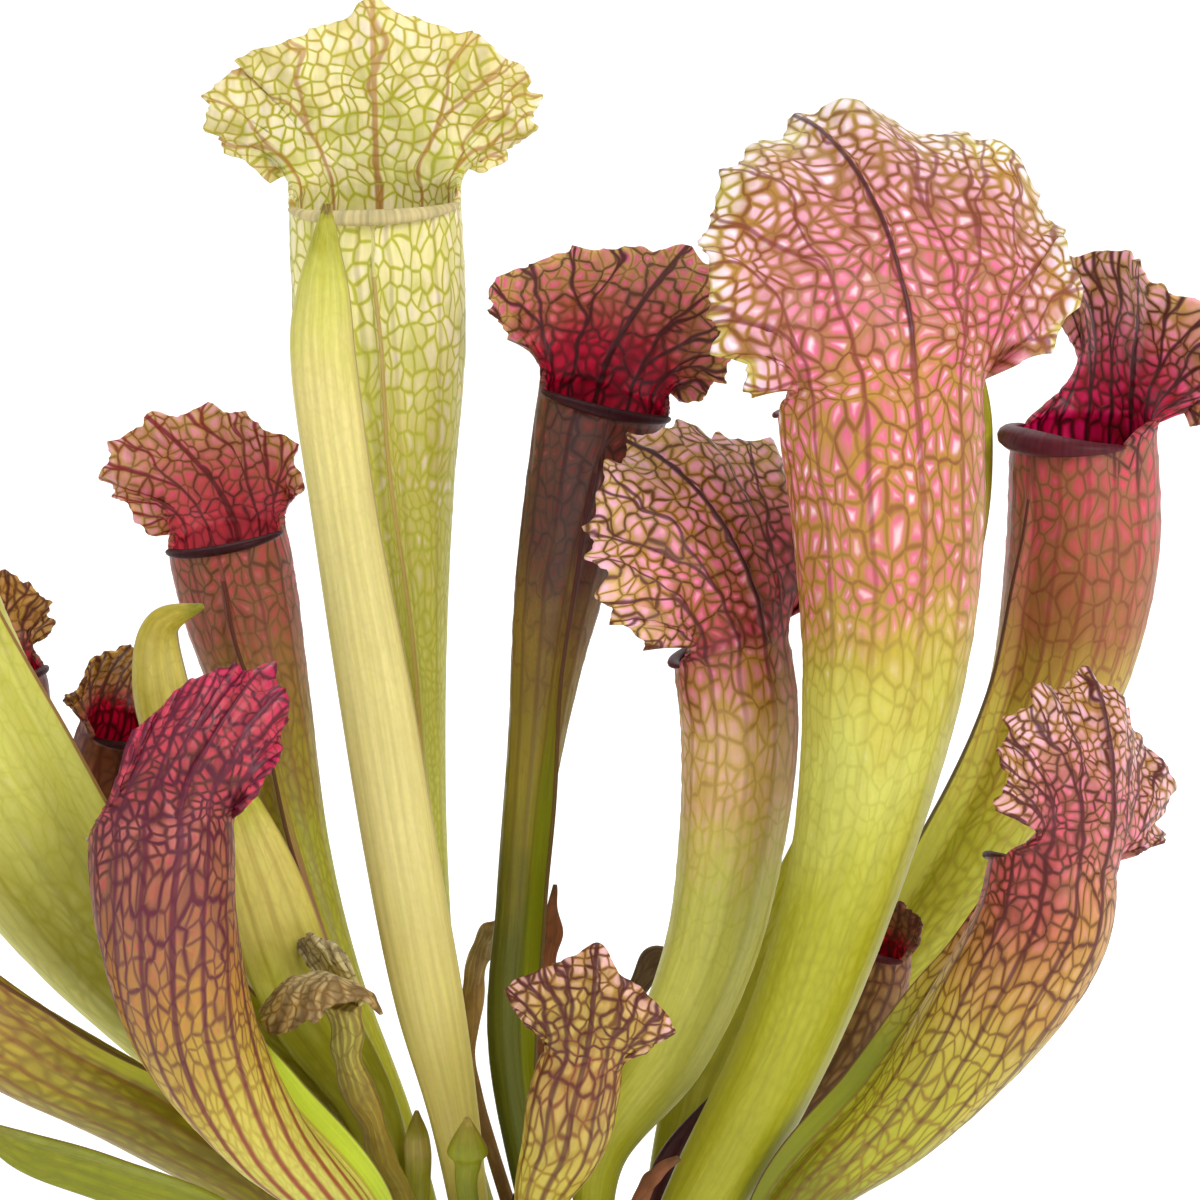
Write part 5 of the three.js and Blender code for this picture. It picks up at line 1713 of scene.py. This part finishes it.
def fine_root(tree, length):
    """A thin closed root that bends down towards its tip."""
    places = {}
    for name, (x, z) in zip(("Start", "Middle", "End"), FINE_ROOT_BEND):
        places[name] = tree.joined(length * x, 0.0, length * z)
    path = tree.out("GeometryNodeCurveQuadraticBezier", {"Resolution": 7, **places})
    ring = tree.out("GeometryNodeCurvePrimitiveCircle", {"Resolution": 4, "Radius": FINE_ROOT_HALF})
    inputs = {"Curve": path, "Profile Curve": ring, "Fill Caps": True}
    return tree.out("GeometryNodeCurveToMesh", inputs)


def bud_scale(tree, length):
    """A pointed dry scale, cupped round the growing point; it points along its own Y axis."""
    ball = tree.out("GeometryNodeMeshUVSphere", {"Segments": 12, "Rings": 8, "Radius": 1.0})
    x, y, z = tree.parts(tree.out("GeometryNodeInputPosition", {}))
    wide = x * tree.rise(y, -0.2, 1.0, 0.42, 0.1)
    thin = z * 0.07 + wide * wide * -0.9 + y * y * 0.16
    return tree.moved(ball, "Position", tree.joined(wide, y + 0.6, thin) * length)


def scattered(tree, surface, chosen, shape, density, seed, sizes, upright):
    """Copies of a shape all over the chosen faces; upright ones point up along the surface."""
    inputs = {"Mesh": surface, "Selection": chosen, "Density": density, "Seed": seed}
    spread = tree.add("GeometryNodeDistributePointsOnFaces", inputs, distribute_method="RANDOM")
    points, turn = (Out(tree, spread.outputs[name]) for name in ("Points", "Rotation"))
    if upright:
        aim = {"Rotation": turn, "Factor": 1.0, "Vector": (0.0, 0.0, 1.0)}
        turn = tree.out("FunctionNodeAlignRotationToVector", aim, axis="Y", pivot_axis="Z")
    swing = (0.25, 0.15, 0.4) if upright else (0.5, 0.5, math.pi)
    ends = {0: tuple(-angle for angle in swing), 1: swing, "Seed": seed + 1}
    spin = tree.out("FunctionNodeRandomValue", ends, data_type="FLOAT_VECTOR")
    local = {"Rotation": turn, "Rotate By": spin}
    turned = tree.out("FunctionNodeRotateRotation", local, rotation_space="LOCAL")
    ends = {2: sizes[0], 3: sizes[1], "Seed": seed + 2}
    size = tree.out("FunctionNodeRandomValue", ends, 1, data_type="FLOAT")
    copies = {"Points": points, "Instance": shape, "Rotation": turned, "Scale": size}
    placed = tree.out("GeometryNodeInstanceOnPoints", copies)
    return tree.out("GeometryNodeRealizeInstances", {"Geometry": placed})


class PLANT_OT_rhizome(bpy.types.Operator):
    """Builds the rhizome and root mat with its roots and dry scales"""

    bl_idname = "plant.rhizome"
    bl_label = "Rhizome and roots"

    def execute(self, context):
        sizes, palette = context.scene.plant_sizes, context.scene.plant_colours
        dark, bark, grey = (rgba(palette, name) for name in ("brown_dark", "bark", "grey_brown"))
        skin = earth_material("rhizome_bark", dark, bark, 160.0, 0.8)
        fibre = earth_material("root_fibre", bark, grey, 220.0, 0.7)
        scale = earth_material("bud_scale", bark, grey, 260.0, 0.6)
        piece = new_piece("rhizome_grown", rhizome_mesh(), [])
        remesh = piece.modifiers.new("fuse", "REMESH")
        remesh.mode, remesh.voxel_size = "VOXEL", FUSE_VOXEL
        values = {"Lumps": sizes.lumps, "Fine root": sizes.fine_root, "Bud scale": sizes.bud_scale}
        apply_tree(piece, rhizome_tree(skin, fibre, scale), values)
        settle(piece, "rhizome_and_roots")
        return {"FINISHED"}


class PLANT_OT_stage(bpy.types.Operator):
    """Sets up the pale seamless floor, soft studio light and the camera"""

    bl_idname = "plant.stage"
    bl_label = "Stage"

    def execute(self, context):
        build_sweep()
        build_lights(context.scene)
        build_camera(context.scene)
        return {"FINISHED"}


# The floor in metres: half its width, where it starts, where it bends up, the bend's radius and its top
FLOOR_HALF, FLOOR_FRONT, FLOOR_BEND, FLOOR_RADIUS, FLOOR_TOP = 14, -14, 2.4, 0.8, 4
# Each light's name, place, size and power
LIGHTS = (
    ("key", (1.2, -1.5, 1.4), 1.1, 28),
    ("fill", (-1.4, -1.3, 0.8), 1.4, 6),
    ("back", (-0.3, 0.9, 1.8), 1.2, 11),
)
# What the lights are turned to
LIGHTS_AIM = (0, 0, 0.15)
# How bright the white surroundings are, and how much the white floor glows of itself
SURROUNDINGS, FLOOR_GLOW = 0.5, 0.35
# The camera stands 1 m from its aim and 10 degrees above it; its lens and sensor are in millimetres
CAMERA_AT, CAMERA_AIM, LENS, SENSOR = (0.012, -0.9848, 0.3436), (0.012, 0, 0.17), 150, 36


def build_sweep():
    """A seamless pale floor that curves up behind the plant."""
    profile = [(FLOOR_FRONT, 0.0)]
    for turn in range(0, 91, 6):
        angle = math.radians(turn)
        profile.append((FLOOR_BEND + FLOOR_RADIUS * math.sin(angle), FLOOR_RADIUS * (1 - math.cos(angle))))
    profile.append((FLOOR_BEND + FLOOR_RADIUS, FLOOR_TOP))
    points = [(x, y, z) for x in (-FLOOR_HALF, FLOOR_HALF) for y, z in profile]
    count = len(profile)
    faces = [(count + k, count + k + 1, k + 1, k) for k in range(count - 1)]
    mesh = bpy.data.meshes.new("sweep")
    mesh.from_pydata(points, [], faces)
    mesh.polygons.foreach_set("use_smooth", [True] * len(faces))
    material, tree = new_material("white_paper")
    shader = material.node_tree.nodes["Principled BSDF"]
    paper = {"Base Color": (0.93, 0.93, 0.93, 1), "Roughness": 0.9}
    glow = {"Emission Color": (1, 1, 1, 1), "Emission Strength": FLOOR_GLOW}
    for label, value in {**paper, **glow}.items():
        tree.feed(shader.inputs[label], value)
    new_piece("sweep", mesh, [material])


def aimed(name, data, place, target):
    """A lamp or camera at a place, turned towards a target."""
    thing = bpy.data.objects.new(name, data)
    bpy.context.scene.collection.objects.link(thing)
    thing.location = place
    aim = Vector(target) - thing.location
    thing.rotation_euler = aim.to_track_quat("-Z", "Y").to_euler()
    return thing


def build_lights(scene):
    """White surroundings, a large soft lamp on the right, a weaker one on the left and one behind."""
    world = bpy.data.worlds.new("studio")
    scene.world = world
    world.use_nodes = True
    world.node_tree.nodes["Background"].inputs[0].default_value = (1, 1, 1, 1)
    world.node_tree.nodes["Background"].inputs[1].default_value = SURROUNDINGS
    for name, place, size, power in LIGHTS:
        light = bpy.data.lights.new(name, "AREA")
        light.size, light.energy = size, power
        aimed(name, light, place, LIGHTS_AIM)
    scene.view_settings.view_transform = "Standard"


def build_camera(scene):
    """The photo's view: from the front and slightly above."""
    data = bpy.data.cameras.new("camera")
    data.lens, data.sensor_width = LENS, SENSOR
    scene.camera = aimed("camera", data, CAMERA_AT, CAMERA_AIM)


class PLANT_PT_panel(bpy.types.Panel):
    """Lists the steps that build the plant"""

    bl_idname = "PLANT_PT_panel"
    bl_label = "Pitcher plant"
    bl_space_type = "VIEW_3D"
    bl_region_type = "UI"
    bl_category = "Pitcher plant"

    def draw(self, context):
        for step in STEPS:
            self.layout.operator(step.bl_idname)
        for group in (context.scene.plant_sizes, context.scene.plant_colours):
            for name in group.__annotations__:
                self.layout.prop(group, name)


STEPS = (
    PLANT_OT_open_pitchers, PLANT_OT_closed_leaves, PLANT_OT_dried_leaves,
    PLANT_OT_withered_pitcher, PLANT_OT_rhizome, PLANT_OT_stage,
)
CLASSES = (PlantColours, PlantSizes, *STEPS, PLANT_PT_panel)


def register():
    for cls in CLASSES:
        bpy.utils.register_class(cls)
    bpy.types.Scene.plant_colours = bpy.props.PointerProperty(type=PlantColours)
    bpy.types.Scene.plant_sizes = bpy.props.PointerProperty(type=PlantSizes)


def unregister():
    del bpy.types.Scene.plant_sizes
    del bpy.types.Scene.plant_colours
    for cls in reversed(CLASSES):
        bpy.utils.unregister_class(cls)


def main():
    register()
    bpy.ops.plant.open_pitchers()
    bpy.ops.plant.closed_leaves()
    bpy.ops.plant.dried_leaves()
    bpy.ops.plant.withered_pitcher()
    bpy.ops.plant.rhizome()
    bpy.ops.plant.stage()
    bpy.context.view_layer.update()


if __name__ == "__main__":
    main()
